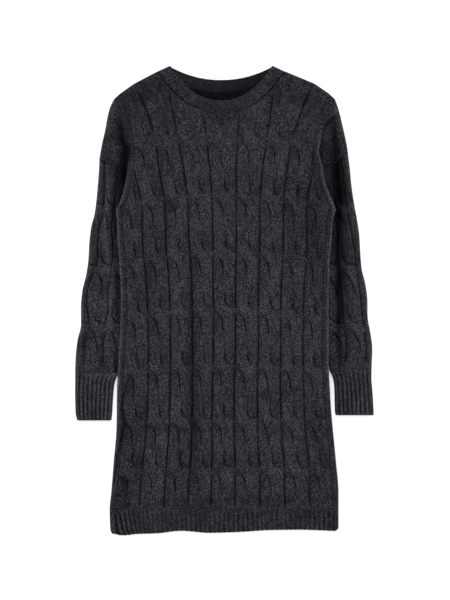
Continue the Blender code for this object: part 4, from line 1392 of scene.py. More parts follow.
    def build(self, outside: bpy.types.Material, inside: bpy.types.Material) -> bpy.types.Object:
        """Makes and dresses the panel."""
        share = 0.5 - 0.5 * np.cos(np.pi * np.linspace(0, 1, self.per_cable + 1)[:-1])
        even = np.linspace(0, 1, self.per_cable + 1)[:-1]
        within = 0.45 * share + 0.55 * even
        cables = [k - 0.5 + f for k in range(-4, 5) for f in within]
        strip = [4.505, 4.54, 4.58, 4.63, 4.68, 4.74, 4.80, 4.86, 4.91, 4.96]
        cap = [5.04, 5.12, 5.22, 5.34, 5.48, 5.62, 5.76, 5.88, 5.96, 6.0]
        outer = strip + [5.0] + cap
        u = np.array([-line for line in outer[::-1]] + cables + [4.5] + outer)
        steps = round((LEVELS.yoke - LEVELS.hem_top) / self.row_step)
        body = np.linspace(LEVELS.hem_top, LEVELS.yoke, steps + 1)
        steps = round(LEVELS.yoke_length / self.row_step)
        yoke = LEVELS.yoke + 1.0 - (1.0 - np.linspace(0, 1, steps + 1)[1:]) ** 1.15
        shell = GridShell(self.layer.value, u, np.concatenate([body, yoke]))
        piece = shell.build(self.wall, self.knit, self.is_missing)
        return dress(piece, Fabric.CABLED, self.layer.value, outside, inside)


# ---------------------------------------------------------------- bands


@dataclass
class HemBand:
    """The ribbed hem below the front or the back."""

    layer: Layer
    rows: int = 15

    def strength(self, turn: Array) -> Array:
        """How high the ribs stand, unevenly along the hem and highest at its corners."""
        uneven = 0.8 + 0.2 * np.sin(turn * 0.37 + 1.0) * np.sin(turn * 0.149)
        corner = ease(7.0, 2.0, turn) + 0.5 * ease(HEM_RIBS - 6.0, HEM_RIBS - 1.0, turn)
        return np.clip(uneven + 0.5 * corner, 0.2, 1.0)

    def wall(self, turn: Array, down: Array, out: bool) -> Array:
        """Points of the band.

        Args:
            turn: Ribs from the left side.
            down: 0 at the seam to 1 at the edge.
            out: The ribbed side, not the plain one.

        Returns:
            Points in millimetres.
        """
        top = LEVELS.hem_top
        share = turn / HEM_RIBS
        flat_x = LEFT(top) + (RIGHT(top) - LEFT(top)) * share
        y = top + (HEM_BOTTOM(flat_x) + 0.7 * self.strength(turn) * rib(turn) - top) * down
        y = y + 5.0 * down * ease(7.0, 0.0, RIGHT(top) - flat_x) ** 2
        lean = 7.0 * down * ease(9.0, 2.0, turn) * ease(0.0, 1.5, turn)
        x = LEFT(y) + (RIGHT(y) - LEFT(y)) * share + lean
        distance = np.minimum(x - LEFT(y), RIGHT(y) - x)
        is_front = self.layer is Layer.FRONT
        level = CLOTH.front_level if is_front else CLOTH.back_wall
        flare = 0.5 * np.sin(share * 19.0 + 1.0) + 0.35 * np.sin(share * 43.0)
        deep = ease(0.0, 0.3, down) * self.strength(turn)
        ribbing = CLOTH.rib_rise * (HEM_JOIN + (rib(turn) - HEM_JOIN) * deep)
        thick = CLOTH.wall + ribbing + 0.4 * down * flare
        if not is_front:
            thick = CLOTH.back_wall - 0.8 * (1.0 - rib(turn))
        thick = CLOTH.edge_wall + (thick - CLOTH.edge_wall) * np.sqrt(ease(-1.0, 6.0, distance))
        thick = thick * (1.0 - 0.3 * ease(0.9, 1.0, down))
        way = 1.0 if is_front else -1.0
        return np.stack([x, y, level + way * thick * float(out)], axis=-1)

    def knit(self, turn: Array, down: Array, mid_turn: Array, mid_down: Array) -> Patch:
        """The knit at each corner: see GridShell.build."""
        y = self.wall(turn, down, False)[..., 1]
        number = np.floor(mid_turn)
        gutter = np.minimum(np.abs(turn - number), np.abs(number + 1.0 - turn)) * HEM_RIB
        corner = ease(5.0, 1.0, turn)
        depth = self.strength(turn) * (0.74 + 0.26 * corner) * ease(0.0, 0.35, down)
        knit = plain_patch(turn * 3.0, y / CLOTH.course)
        # Painted shade on the front hem, most near its join with the body.
        join_painted_shade = (0.02 + 0.22 * ease(0.45, 0.0, down)) * (self.layer is Layer.FRONT)
        return knit._replace(gutter=gutter, gutter_depth=depth, hollow=join_painted_shade)

    def build(self, outside: bpy.types.Material, inside: bpy.types.Material) -> bpy.types.Object:
        """Makes and dresses the band."""
        name = f"hem_{self.layer.value}"
        turns = np.linspace(0, HEM_RIBS, 8 * HEM_RIBS + 1)
        down = np.linspace(0, 1, self.rows) ** 1.1
        shell = GridShell(name, turns, down)
        return dress(shell.build(self.wall, self.knit), Fabric.RIBBED, name, outside, inside)


@dataclass
class LyingTube:
    """A sleeve or a cuff that lies flat: an upper wall that shows, and one on the surface."""

    side: Side
    table: tuple
    creases: tuple
    node: str

    EDGE_INSET: ClassVar[float] = 2.5
    FLOOR_WALL: ClassVar[float] = 2.2
    EDGE_LEVEL: ClassVar[float] = 3.8

    def lower(self, share: Array, edge: tuple, out: bool) -> Array:
        """Points of the wall on the surface, back from the inner edge to the outer one.

        Args:
            share: 0 at the inner edge to 1 at the outer one.
            edge: The upper wall's points at its outer and at its inner edge.
            out: The side on the surface, not the one inside the tube.

        Returns:
            Points in millimetres.
        """
        first, last = edge
        inset = self.EDGE_INSET if out else self.EDGE_INSET + CLOTH.edge_wall
        z = 0.0 if out else self.FLOOR_WALL
        way = -float(self.side.value)
        start, end = last[..., 0] - way * inset, first[..., 0] + way * inset
        y = last[..., 1] + (first[..., 1] - last[..., 1]) * share
        return np.stack([start + (end - start) * share, y, np.full_like(y, z)], axis=-1)


@dataclass
class Sleeve(LyingTube):
    """A cabled sleeve with a long fold, its inner edge under the body, with painted light along its
    outer edge and painted shade at its seam.
    """

    rim: float = 0.7
    seam: float = 0.45
    level: float = 8.4
    tucked: float = 5.4
    cuff_level: float = 5.6
    last_cable: float = 36.0

    def __post_init__(self) -> None:
        """Reads the table's columns."""
        self.reach = {c: through(self.table, "y", c) for c in SleeveRow._fields[1:]}
        self.corner = max(row.y for row in self.table)
        self.lowest = min(row.y for row in self.table)

    def body_side(self, y: Array) -> Array:
        """The distance of the body's side from the middle."""
        return -LEFT(y) if self.side is Side.LEFT else RIGHT(y)

    def inner_edge(self, y: Array) -> Array:
        """The distance of the sleeve's inner edge from the middle."""
        beside = self.body_side(y) - 1.0
        return np.where(y > LEVELS.armpit, beside, self.reach["inner"](y))

    def across(self, s: Array, row_y: Array) -> tuple:
        """Where a section's points lie.

        Args:
            s: 0 at the outer edge, 1 and 2 at the gutters, 3 at the inner edge.
            row_y: Heights, before the sleeve seam's slant.

        Returns:
            Y, inward distance, width, and the two gutters' distances.
        """
        top = self.corner - 2.0 * CLOTH.seam_gap
        y = row_y
        for _ in range(3):
            width = self.reach["outer"](y) - self.inner_edge(y)
            first = self.reach["gutter"](y)
            second = first + self.reach["column"](y)
            in_last = second + (s - 2.0) * (width - second)
            inward = np.where(s <= 1, s * first, first + (s - 1.0) * (second - first))
            inward = np.where(s > 2, in_last, inward)
            below = self.corner - armhole_seam(self.side, self.reach["outer"](y) - inward)
            y = row_y - below * ease(top - 80.0, top, row_y)
        return y, inward, width, first, second

    def cable_place(self, s: Array, parts: tuple) -> tuple:
        """Across and width of the cable at each point, mirrored with the sleeve."""
        _, _, width, first, second = parts
        zones = [s <= 1, s <= 2]
        cable_width = np.select(zones, [2 * first, second - first], self.last_cable)
        in_last = (s - 2.0) * (width - second) / self.last_cable
        across = np.clip(np.select(zones, [0.5 + 0.5 * s, s - 1.0], in_last), 0.0, 1.0)
        if self.side is Side.RIGHT:
            across = 1.0 - across
        return across, np.maximum(cable_width, 8.0)

    def upper(self, s: Array, row_y: Array, out: bool) -> Array:
        """Points of the upper wall's outer or inner side."""
        parts = self.across(s, row_y)
        y, inward, width, _, _ = parts
        seen = self.reach["outer"](y) - self.body_side(y)
        hidden = ease(-16.0, -1.0, inward - seen)
        level = self.level + (self.tucked - self.level) * hidden
        level = level - (self.level - self.cuff_level) * ease(26.0, 0.0, y - self.lowest)
        from_fold = (inward - self.reach["fold"](y)) / self.reach["spread"](y)
        dip = np.exp(-(from_fold**2))
        level = np.maximum(level - self.reach["depth"](y) * dip, self.cuff_level - 0.4)
        roll = ease(0.0, 9.0, inward) * ease(0.0, 6.0, width - inward)
        x = self.side.value * (self.reach["outer"](y) - inward)
        if not out:
            inset = np.clip(inward, self.EDGE_INSET + 1.0, width - self.EDGE_INSET - 1.0)
            x = self.side.value * (self.reach["outer"](y) - inset)
            z = 2.7 + (level - CLOTH.wall - 2.7) * roll
            return np.stack([x, y, z], axis=-1)
        across, cable_width = self.cable_place(s, parts)
        knit = SLEEVE_CABLE.height(across, cable_width, above_crossing(y, SLEEVE_CROSSINGS))
        knit = knit * (1 - 0.5 * dip) * (1 - 0.45 * ease(-10.0, 0.0, inward - seen))
        at_cuff = CLOTH.rib_rise * HEM_JOIN
        knit = at_cuff + (knit - at_cuff) * ease(0.0, 16.0, y - self.lowest)
        wave = 0.5 * np.sin(y / 31.0 + inward / 14.0) * (1.0 - hidden)
        wave = wave + creased(x, y, self.creases)
        height = self.EDGE_LEVEL + (level + knit + wave - self.EDGE_LEVEL) * np.sqrt(roll)
        return np.stack([x, y, height], axis=-1)

    def wall(self, s: Array, row_y: Array, out: bool) -> Array:
        """Points of the whole ring: s past 3 runs back along the surface to 4."""
        on_top = self.upper(np.minimum(s, 3.0), row_y, out)
        edge = (self.upper(np.zeros_like(s), row_y, True),
                self.upper(np.full_like(s, 3.0), row_y, True))
        under = self.lower(np.clip(s - 3.0, 0, 1), edge, out)
        return np.where(s[..., None] > 3.0, under, on_top)

    def knit(self, s: Array, row_y: Array, mid_s: Array, mid_row: Array) -> Patch:
        """The knit at each corner: see GridShell.build."""
        number = np.floor(np.minimum(mid_s, 2.999))
        on_top = np.clip(s, number, number + 1.0)
        parts = self.across(np.minimum(s, 3.0), row_y)
        y = parts[0]
        edge = np.where(number > 1.5, on_top + 1e-6, on_top - 1e-6)
        across, width = self.cable_place(np.where(number == 1, on_top, edge), parts)
        mid_parts = self.across(np.minimum(mid_s, 3.0), mid_row)
        mid_across, _ = self.cable_place(np.minimum(mid_s, 3.0), mid_parts)
        above = above_crossing(y, SLEEVE_CROSSINGS)
        mid_above = above_crossing(mid_parts[0], SLEEVE_CROSSINGS)
        knit = SLEEVE_CABLE.knit(across, width, above, (mid_across, mid_above))
        at_cuff = ease(4.0, 22.0, y - self.lowest)
        on_x = self.side.value * (self.reach["outer"](y) - parts[1])
        below = mid_s > 3.0
        # Painted shade in the long fold, at the seam, in the creases, over the whole sleeve and
        # near the crossings, less painted light along the outer edge.
        at_seam = self.seam * ease(5.0, 0.5, self.corner - 2.0 * CLOTH.seam_gap - row_y)
        hollow = 1.0 - (1.0 - fold_shade(self.side, on_x, y)) * (1.0 - at_seam)
        hollow = 1.0 - (1.0 - hollow) * (1.0 - crease_painted_shade(on_x, y, self.creases))
        hollow = hollow + 0.06 + knit.hollow - self.rim * ease(6.0, 2.0, parts[1])
        under_wale = 24.0 + (s - 3.0) * parts[2] / CLOTH.wale
        return Patch(
            wale=np.where(below, under_wale, knit.wale * 0.8 + 9.0 * number),
            course=y / CLOTH.course + np.where(below, 0.0, knit.course),
            gutter=knit.gutter,
            gutter_depth=np.where(below, 0.0, 0.9 * knit.gutter_depth * at_cuff),
            hook=knit.hook,
            hook_depth=np.where(below, 0.0, knit.hook_depth),
            hollow=np.where(below, 0.0, hollow),
        )

    def build(self, outside: bpy.types.Material, inside: bpy.types.Material) -> bpy.types.Object:
        """Makes and dresses the sleeve."""
        near = 0.5 - 0.5 * np.cos(np.pi * np.linspace(0, 1, 19))
        within = (0.5 * near + 0.5 * np.linspace(0, 1, 19))[:-1]
        last = np.linspace(2.0, 3.0, 30)
        under = np.array([3.02, 3.2, 3.4, 3.6, 3.8, 3.98, 4.0])
        s = np.concatenate([within, 1.0 + within, last, under])
        rows = np.linspace(self.lowest, self.corner - 2.0 * CLOTH.seam_gap, 140)
        shell = GridShell(self.node, s, rows, wraps=True)
        piece = shell.build(self.wall, self.knit)
        return dress(piece, Fabric.CABLED, self.node, outside, inside)


@dataclass
class Cuff(LyingTube):
    """A ribbed cuff. shaded is the painted shade towards the body, painted light where below 0."""

    shaded: float = 0.0
    level: float = 5.6

    def __post_init__(self) -> None:
        """Reads the table's columns."""
        self.top = max(row.y for row in self.table)
        self.outer_x = through(self.table, "y", "outer")
        self.inner_x = through(self.table, "y", "inner")

    def upper(self, turn: Array, y: Array, out: bool) -> Array:
        """Points of the upper wall's ribbed or plain side."""
        width = self.outer_x(y) - self.inner_x(y)
        inward = np.clip(turn / CUFF_RIBS, 0.0, 1.0) * width
        roll = ease(0.0, 5.0, inward) * ease(0.0, 5.0, width - inward)
        start = self.EDGE_LEVEL - 0.6
        if out:
            ribbed = HEM_JOIN + (rib(turn) - HEM_JOIN) * ease(self.top, self.top - 9.0, y)
            z = start + (self.level + CLOTH.rib_rise * ribbed - start) * np.sqrt(roll)
        else:
            inward = np.clip(inward, self.EDGE_INSET + 1.0, width - self.EDGE_INSET - 1.0)
            z = self.FLOOR_WALL + 0.4 + 0.3 * roll
        return np.stack([self.side.value * (self.outer_x(y) - inward), y, z], axis=-1)

    def wall(self, turn: Array, y: Array, out: bool) -> Array:
        """Points of the whole ring: turns past the ribs run back along the surface."""
        on_top = self.upper(turn, y, out)
        edge = (self.upper(np.zeros_like(turn), y, True),
                self.upper(np.full_like(turn, CUFF_RIBS), y, True))
        share = np.clip((turn - CUFF_RIBS) / CUFF_RIBS, 0.0, 1.0)
        ribs_below = 0.5 * (1.0 - rib(turn)) * (share * (1.0 - share) > 0.001)
        under = self.lower(share, edge, out)
        under[..., 2] += ribs_below * float(out)
        return np.where(turn[..., None] > CUFF_RIBS, under, on_top)

    def knit(self, turn: Array, y: Array, mid_turn: Array, mid_y: Array) -> Patch:
        """The knit at each corner: see GridShell.build."""
        number = np.floor(mid_turn)
        gutter = np.minimum(np.abs(turn - number), np.abs(number + 1.0 - turn)) * CUFF_RIB
        depth = 0.76 * ease(self.top, self.top - 12.0, y)
        knit = plain_patch(turn * 3.0, y / CLOTH.course)
        # Painted light on the ribs' tops, and painted shade or painted light towards the body by
        # shaded.
        ridge = -0.44 * ease(1.0, 3.0, gutter) * (mid_turn < CUFF_RIBS)
        beside_body_shade_and_light = self.shaded * ease(0.45 * CUFF_RIBS, CUFF_RIBS, turn)
        return knit._replace(gutter=gutter, gutter_depth=depth, hollow=ridge + beside_body_shade_and_light)

    def build(self, outside: bpy.types.Material, inside: bpy.types.Material) -> bpy.types.Object:
        """Makes and dresses the cuff."""
        turns = np.linspace(0, 2 * CUFF_RIBS, 16 * CUFF_RIBS + 1)
        low = min(row.y for row in self.table)
        rows = np.linspace(low, self.top + CLOTH.seam_gap, 32)
        shell = GridShell(self.node, turns, rows, wraps=True)
        piece = shell.build(self.wall, self.knit)
        return dress(piece, Fabric.RIBBED, self.node, outside, inside)


@dataclass
class Neckband:
    """The ribbed band round the neck: a closed ring, folded flat at the neck's two ends.

    Its columns run from 0 to 1 along the front, to 1.2 round the right fold, to 2.2 along
    the back and to 2.4 round the left fold.
    """

    thick: float = 2.3
    turn: float = 0.2

    def wall(self, along: Array, across: Array, out: bool) -> Array:
        """Points of the band.

        Args:
            along: Places round the ring.
            across: 0 at the neck's edge to 1 at the seam.
            out: The ribbed side, not the plain one.

        Returns:
            Points in millimetres.
        """
        front_z = CLOTH.front_level + self.thick / 2
        back_z = self.thick / 2
        radius, middle_z = (front_z - back_z) / 2, (front_z + back_z) / 2
        back_start, back_end = 1.0 + self.turn, 2.0 + self.turn
        right_fold = np.clip((along - 1.0) / self.turn, 0.0, 1.0)
        left_fold = np.clip((along - back_end) / self.turn, 0.0, 1.0)
        front_at = np.where(left_fold > 0, -1.0, np.clip(2.0 * along - 1.0, -1.0, 1.0))
        back_at = np.clip(1.0 - 2.0 * (along - back_start), -1.0, 1.0)
        on_front = (along <= 1.0) | (left_fold > 0)
        front_edge, front_way = neck_frame(front_at, Layer.FRONT)
        back_edge, back_way = neck_frame(back_at, Layer.BACK)
        edge = np.where(on_front[..., None], front_edge, back_edge)
        way = np.where(on_front[..., None], front_way, back_way)
        ribs = np.where(on_front, NECK.ribs * along, NECK.ribs * (along - back_start))
        scallop = 0.9 * rib(ribs) * (1.0 - across) ** 4
        flat = edge + way * ((NECK.band + CLOTH.seam_gap) * across - scallop)[..., None]
        angle = np.pi * np.where(left_fold > 0, 1.0 - left_fold, right_fold)
        side = np.where(along < back_start, 1.0, -1.0)
        bulge = np.sin(angle) * ((right_fold < 1.0) | (left_fold > 0))
        facing = np.cos(angle)
        normal = np.stack([side * -NECK.fold_y * bulge, NECK.fold_x * bulge, facing], axis=-1)
        start = np.stack([flat[..., 0], flat[..., 1], np.full_like(along, middle_z)], axis=-1)
        on_flat = (along <= 1.0) | ((along >= back_start) & (along <= back_end))
        ribbing = rib(ribs) * on_flat * np.where(along <= 1.0, 1.0, 0.0)
        edge_round = ease(0.0, 0.12, across) * ease(1.0, 0.93, across)
        rise = CLOTH.neck_rib_rise * ribbing * (0.35 + 0.65 * edge_round)
        crown = 0.5 * (4.0 * across * (1.0 - across)) * np.where(along <= 1.0, 1.0, 0.0)
        off = self.thick / 2 * (0.72 + 0.28 * edge_round) + rise + crown
        off = np.where(out, off, -self.thick / 2)
        return start + normal * (radius + off)[..., None]

    def knit(self, along: Array, across: Array, mid_along: Array, mid_across: Array) -> Patch:
        """The knit at each corner: see GridShell.build."""
        turns = along * NECK.ribs
        number = np.floor(mid_along * NECK.ribs + 1e-6)
        between_ribs = np.minimum(np.abs(turns - number), np.abs(number + 1.0 - turns)) * NECK_RIB
        to_seam = (1.0 - across) * NECK.band
        at_seam = mid_across > 0.85
        off_middle = np.abs(2.0 * np.clip(along, 0.0, 1.0) - 1.0)
        seam_depth = 0.3 + 0.5 * ease(0.2, 0.6, off_middle)
        knit = plain_patch(turns * 2.0, across * NECK.band / CLOTH.course)
        # Painted shade on the back half of the band, seen inside the neck, and a little on its two
        # folds.
        on_back = (along > 1.0 + self.turn) & (along < 2.0 + self.turn)
        in_shade = 0.12 + 0.3 * ease(1.8, 1.35, along) + 0.5 * across**2.5
        return knit._replace(
            gutter=np.where(at_seam, to_seam, between_ribs),
            gutter_depth=np.where(at_seam, seam_depth, 0.2),
            hollow=np.where(on_back, in_shade, 0.1 * ease(1.0, 1.1, along)),
        )

    def build(self, outside: bpy.types.Material, inside: bpy.types.Material) -> bpy.types.Object:
        """Makes and dresses the band."""
        flat = np.linspace(0.0, 1.0, 8 * NECK.ribs + 1)
        back = 1.0 + self.turn + np.linspace(0.0, 1.0, 4 * NECK.ribs + 1)
        fold = self.turn * np.linspace(0.0, 1.0, 13)[1:-1]
        last = 2.0 + self.turn + self.turn * np.linspace(0.0, 1.0, 13)[1:]
        along = np.concatenate([flat, 1.0 + fold, back, last])
        shell = GridShell("neckband", along, np.linspace(0.0, 1.0, 13), wraps=True)
        piece = shell.build(self.wall, self.knit)
        return dress(piece, Fabric.RIBBED, "neckband", outside, inside)


# ---------------------------------------------------------------- finishes


def linear(hex_colour: str) -> tuple:
    """Turns an sRGB hex colour to linear.

    Args:
        hex_colour: Such as "#3a393d".

    Returns:
        Red, green, blue and an alpha of 1.
    """
    parts = [int(hex_colour[n : n + 2], 16) / 255.0 for n in (1, 3, 5)]
    return (*(p / 12.92 if p <= 0.04045 else ((p + 0.055) / 1.055) ** 2.4 for p in parts), 1.0)


def add_node(
    tree: bpy.types.NodeTree, kind: str, inputs: dict | None = None, **settings: object
) -> bpy.types.Node:
    """Adds a node with its settings and links.

    Args:
        tree: The node tree.
        kind: The node's type, without "ShaderNode".
        inputs: A value or a socket to link, by input name or number.
        settings: The node's own properties.

    Returns:
        The node.
    """
    made = tree.nodes.new(f"ShaderNode{kind}")
    for name, value in settings.items():
        setattr(made, name, value)
    for key, value in (inputs or {}).items():
        if isinstance(value, bpy.types.NodeSocket):
            tree.links.new(value, made.inputs[key])
        else:
            made.inputs[key].default_value = value
    return made


def add_math(
    tree: bpy.types.NodeTree, operation: str, *values: float | bpy.types.NodeSocket
) -> bpy.types.NodeSocket:
    """Adds a sum of one operation on up to three values, and returns its result."""
    return add_node(tree, "Math", dict(enumerate(values)), operation=operation).outputs[0]


# How the painted shade and the bump of a gutter, and of an upper strand's edge, fade with distance.
GUTTER_STOPS = ((0.0, 1.0), (0.6, 1.0), (1.7, 0.22), (3.6, 0.0))
HOOK_STOPS = ((-7.0, 0.0), (-3.6, 0.10), (-2.5, 0.35), (-1.8, 1.0), (-0.2, 1.0), (0.7, 0.0))


@dataclass(frozen=True)
class WoolKnit:
    """Heathered charcoal yarn, a matt wool blend with pale and near-black fibres spun in.

    slant is how steeply a stitch's two legs rise: 0.62 gives the V of the right side, and 0
    the flat bumps of the wrong side. stitch_light spans painted shade between the legs and
    painted light on their tops. other_shares are those of the stitch's own chance, the wales,
    the tufts and the nap in the colour. darkest is how far the painted shade of
    gutters, hooks and hollows darkens it. other_rises are the bump, in millimetres, of
    gutters, hooks and fibres.
    """

    name: str
    shade: str
    dark: str
    pale: str
    slant: float = 0.62
    stitch_rise: float = 0.8
    stitch_light: tuple = (0.60, 1.17)
    fleck_share: float = 0.38
    other_shares: tuple = (0.15, 0.07, 0.05, 0.14)
    darkest: tuple = (0.87, 0.80, 0.93)
    other_rises: tuple = (-1.2, -1.0, 0.15)
    roughness: float = 0.94
    sheen: float = 0.02

    def stitch(self, tree: bpy.types.NodeTree) -> tuple:
        """Adds the form of the stitches.

        Args:
            tree: The material's nodes.

        Returns:
            The stitch's height, 0 to 1, and a number for each leg of each stitch.
        """
        uv = add_node(tree, "UVMap", uv_map=STITCHES)
        split = add_node(tree, "SeparateXYZ", {0: uv.outputs[0]})
        wale, course = split.outputs[0], split.outputs[1]
        math = partial(add_math, tree)
        out = math("ABSOLUTE", math("MULTIPLY_ADD", math("FRACT", wale), 2.0, -1.0))
        phase = math("MULTIPLY_ADD", out, -self.slant, course)
        across = math("MULTIPLY_ADD", math("FRACT", phase), 2.0, -1.0)
        yarn = math("SUBTRACT", 1.0, math("MULTIPLY", across, across))
        rest = math("SUBTRACT", 1.0, out)
        arch = math("POWER", math("MULTIPLY", out, rest), 0.4)
        height = math("MULTIPLY", math("MULTIPLY", yarn, arch), 1.7)
        leg_x = math("FLOOR", math("MULTIPLY", wale, 2.0))
        leg_y = math("FLOOR", phase)
        cell = add_node(tree, "CombineXYZ", {0: leg_x, 1: leg_y})
        chance = add_node(tree, "TexWhiteNoise", {0: cell.outputs[0]}, noise_dimensions="3D")
        return height, chance.outputs[0]

    def line(
        self, tree: bpy.types.NodeTree, distance: str, depth: str, stops: Sequence[tuple]
    ) -> bpy.types.NodeSocket:
        """Adds how strongly a line in the knit shows, in its bump and its painted shade.

        Args:
            tree: The material's nodes.
            distance: The attribute with the distance to the line.
            depth: The attribute with the line's depth.
            stops: Distances in millimetres and how strongly the line shows there.

        Returns:
            A socket, 0 away from the line to 1 in it.
        """
        far = add_node(tree, "Attribute", attribute_name=distance)
        deep = add_node(tree, "Attribute", attribute_name=depth)
        first, last = stops[0][0], stops[-1][0]
        along = add_node(tree, "MapRange", {0: far.outputs["Fac"], 1: first, 2: last})
        ramp = add_node(tree, "ValToRGB", {0: along.outputs[0]})
        ramp.color_ramp.interpolation = "EASE"
        marks = ramp.color_ramp.elements
        while len(marks) < len(stops):
            marks.new(0.5)
        for mark, (place, share) in zip(marks, stops):
            mark.position = (place - first) / (last - first)
            mark.color = (share, share, share, 1.0)
        return add_math(tree, "MULTIPLY", ramp.outputs[0], deep.outputs["Fac"])

    def spread_noise(
        self, tree: bpy.types.NodeTree, place: bpy.types.NodeSocket, scale: float
    ) -> bpy.types.NodeSocket:
        """Adds noise at a scale, spread to run from 0 to 1."""
        noise = add_node(tree, "TexNoise", {0: place, 2: scale, 3: 1.0, 4: 0.6})
        return add_node(tree, "MapRange", {0: noise.outputs[0], 1: 0.37, 2: 0.63}).outputs[0]

    def heather(self, tree: bpy.types.NodeTree, chance: bpy.types.NodeSocket) -> tuple:
        """Adds the mix of pale and dark fibres.

        Args:
            tree: The material's nodes.
            chance: A number for each leg of each stitch.

        Returns:
            The colour, and the fibres' own unevenness.
        """
        place = add_node(tree, "TexCoord")
        # Fibres are 0.02 mm thick. They are drawn as flecks of 1.4 mm, the least that shows.
        flecks = self.spread_noise(tree, place.outputs["Object"], 1.0 / (1.4 * MM))
        # Tufts of nap over 5 mm, and the nap's own unevenness over 25 mm.
        tufts = self.spread_noise(tree, place.outputs["Object"], 1.0 / (5.0 * MM))
        nap = add_node(tree, "TexNoise", {0: place.outputs["Object"], 2: 1.0 / (25 * MM), 3: 2.0})
        # Wales knit a little tighter or looser than their neighbours.
        uv = add_node(tree, "UVMap", uv_map=STITCHES)
        drawn = add_node(tree, "Mapping", {0: uv.outputs[0], 3: (0.8, 0.07, 1.0)})
        wales = self.spread_noise(tree, drawn.outputs[0], 1.0)
        total = add_math(tree, "MULTIPLY", flecks, self.fleck_share)
        for part, share in zip((chance, wales, tufts, nap.outputs[0]), self.other_shares):
            total = add_math(tree, "MULTIPLY_ADD", part, share, total)
        ramp = add_node(tree, "ValToRGB", {0: total})
        stops = ramp.color_ramp.elements
        stops[0].position, stops[0].color = 0.14, linear(self.dark)
        stops[1].position, stops[1].color = 0.70, linear(self.pale)
        middle = stops.new(0.41)
        middle.color = linear(self.shade)
        return ramp.outputs[0], flecks

    def build(self) -> bpy.types.Material:
        """Makes the finish."""
        made = bpy.data.materials.new(self.name)
        made.use_nodes = True
        tree = made.node_tree
        shader = tree.nodes["Principled BSDF"]
        height, chance = self.stitch(tree)
        colour, fibres = self.heather(tree, chance)
        gutter = self.line(tree, GUTTER, GUTTER_DEPTH_AND_SHADE, GUTTER_STOPS)
        hook = self.line(tree, HOOK, HOOK_DEPTH_AND_SHADE, HOOK_STOPS)
        hollow = add_node(tree, "Attribute", attribute_name=PAINTED_SHADE_AND_LIGHT)
        # Painted shade between the stitches' legs and in gutters, hooks and hollows; painted light
        # on the stitches' tops and where hollow is below 0.
        low, high = self.stitch_light
        light = add_node(tree, "MapRange", {0: height, 3: low, 4: high}).outputs[0]
        for dark, most in zip((gutter, hook, hollow.outputs["Fac"]), self.darkest):
            kept = add_node(tree, "MapRange", {0: dark, 3: 1.0, 4: 1.0 - most}, clamp=False)
            light = add_math(tree, "MULTIPLY", light, kept.outputs[0])
        tone = add_node(
            tree, "Mix", {"Factor": 1.0, 6: colour, 7: light}, data_type="RGBA",
            blend_type="MULTIPLY",
        )
        tree.links.new(tone.outputs[2], shader.inputs["Base Color"])
        rise = add_math(tree, "MULTIPLY", height, self.stitch_rise)
        for part, depth in zip((gutter, hook, fibres), self.other_rises):
            rise = add_math(tree, "MULTIPLY_ADD", part, depth, rise)
        bump = add_node(tree, "Bump", {"Strength": 1.0, "Distance": MM, "Height": rise})
        tree.links.new(bump.outputs[0], shader.inputs["Normal"])
        shader.inputs["Roughness"].default_value = self.roughness
        shader.inputs["Specular IOR Level"].default_value = 0.0
        shader.inputs["Sheen Weight"].default_value = self.sheen
        shader.inputs["Sheen Roughness"].default_value = 0.45
        shader.inputs["Sheen Tint"].default_value = linear("#c9c8d2")
        return made


# ---------------------------------------------------------------- studio


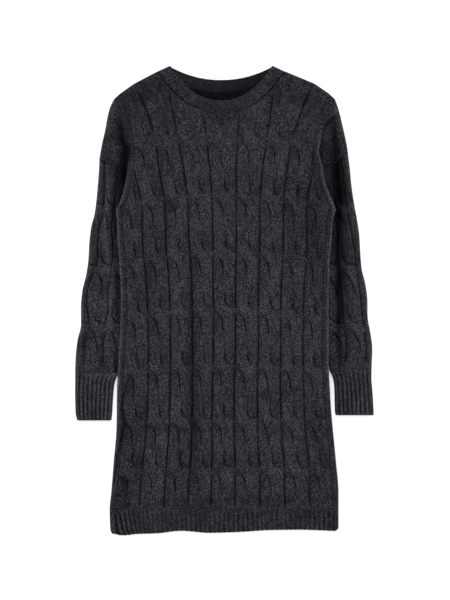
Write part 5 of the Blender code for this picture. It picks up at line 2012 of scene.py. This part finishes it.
@dataclass
class Studio:
    """A pale floor, soft light and a camera straight above."""

    sheet: float = 1.149
    lens: float = 85.0
    sensor: float = 36.0
    centre_x: float = 0.0013

    def floor(self) -> None:
        """Lays the floor."""
        mesh = bmesh.new()
        bmesh.ops.create_grid(mesh, x_segments=1, y_segments=1, size=6.0)
        bmesh.ops.translate(mesh, verts=mesh.verts, vec=(0.0, 0.0, -0.0002))
        data = bpy.data.meshes.new("floor")
        mesh.to_mesh(data)
        mesh.free()
        floor = bpy.data.objects.new("floor", data)
        bpy.context.scene.collection.objects.link(floor)
        paint = bpy.data.materials.new("matt_white_paint")
        paint.use_nodes = True
        shader = paint.node_tree.nodes["Principled BSDF"]
        shader.inputs["Base Color"].default_value = linear("#fafafa")
        shader.inputs["Roughness"].default_value = 0.9
        data.materials.append(paint)

    def sun(self, name: str, place: tuple, spread: float, power: float) -> None:
        """Adds an even soft light from a direction, as from a large lamp far away.

        Args:
            name: The lamp's name.
            place: The direction that it comes from.
            spread: How wide it looks, in radians.
            power: Its strength.
        """
        lamp = bpy.data.lights.new(name, "SUN")
        lamp.angle, lamp.energy = spread, power
        made = bpy.data.objects.new(name, lamp)
        made.rotation_euler = Vector(place).to_track_quat("Z", "Y").to_euler()
        bpy.context.scene.collection.objects.link(made)

    def camera(self) -> None:
        """Sets the camera so that the frame's height spans the sheet's."""
        lens = bpy.data.cameras.new("camera")
        lens.sensor_fit, lens.sensor_height, lens.lens = "VERTICAL", self.sensor, self.lens
        made = bpy.data.objects.new("camera", lens)
        made.location = (self.centre_x, 0.0, self.sheet * self.lens / self.sensor)
        bpy.context.scene.collection.objects.link(made)
        bpy.context.scene.camera = made

    def build(self) -> None:
        """Makes the studio."""
        self.floor()
        self.sun("key", (-0.25, 0.8, 2.0), 0.9, 1.8)
        world = bpy.data.worlds.new("studio")
        world.use_nodes = True
        world.node_tree.nodes["Background"].inputs[0].default_value = (1.0, 1.0, 1.0, 1.0)
        world.node_tree.nodes["Background"].inputs[1].default_value = 0.9
        bpy.context.scene.world = world
        bpy.context.scene.view_settings.view_transform = "Standard"
        self.camera()


# ---------------------------------------------------------------- the dress


def main() -> None:
    """Builds the dress and the studio."""
    logging.basicConfig(level=logging.INFO, format="%(name)s %(message)s")
    face = WoolKnit("heathered_wool_knit", shade="#252428", dark="#161418", pale="#63626b").build()
    ribbed = WoolKnit("heathered_wool_rib", shade="#252428", dark="#161418", pale="#5e5d66").build()
    # The wrong side's finish: flat purl bumps, with fewer pale flecks than the right side as
    # painted shade for the inside of the dress.
    reverse_shaded = WoolKnit(
        "heathered_wool_reverse_shaded", shade="#262529", dark="#141416", pale="#3e3d43", slant=0.0
    ).build()
    pieces = {
        "front": BodyPanel(Layer.FRONT, per_cable=16, row_step=3.1).build(face, reverse_shaded),
        "back": BodyPanel(Layer.BACK, per_cable=12, row_step=4.4).build(face, reverse_shaded),
        "hem_front": HemBand(Layer.FRONT).build(ribbed, reverse_shaded),
        "hem_back": HemBand(Layer.BACK).build(ribbed, reverse_shaded),
        "sleeve_left": Sleeve(
            Side.LEFT, LEFT_SLEEVE, LEFT_SLEEVE_CREASES, "sleeve_left"
        ).build(face, reverse_shaded),
        "sleeve_right": Sleeve(
            Side.RIGHT, RIGHT_SLEEVE, RIGHT_SLEEVE_CREASES, "sleeve_right", seam=0.08
        ).build(face, reverse_shaded),
        "cuff_left": Cuff(Side.LEFT, LEFT_CUFF, (), "cuff_left", shaded=-0.2).build(
            ribbed, reverse_shaded
        ),
        "cuff_right": Cuff(Side.RIGHT, RIGHT_CUFF, (), "cuff_right", shaded=0.3).build(
            ribbed, reverse_shaded
        ),
        "neckband": Neckband().build(ribbed, reverse_shaded),
    }
    Studio().build()


if __name__ == "__main__":
    main()
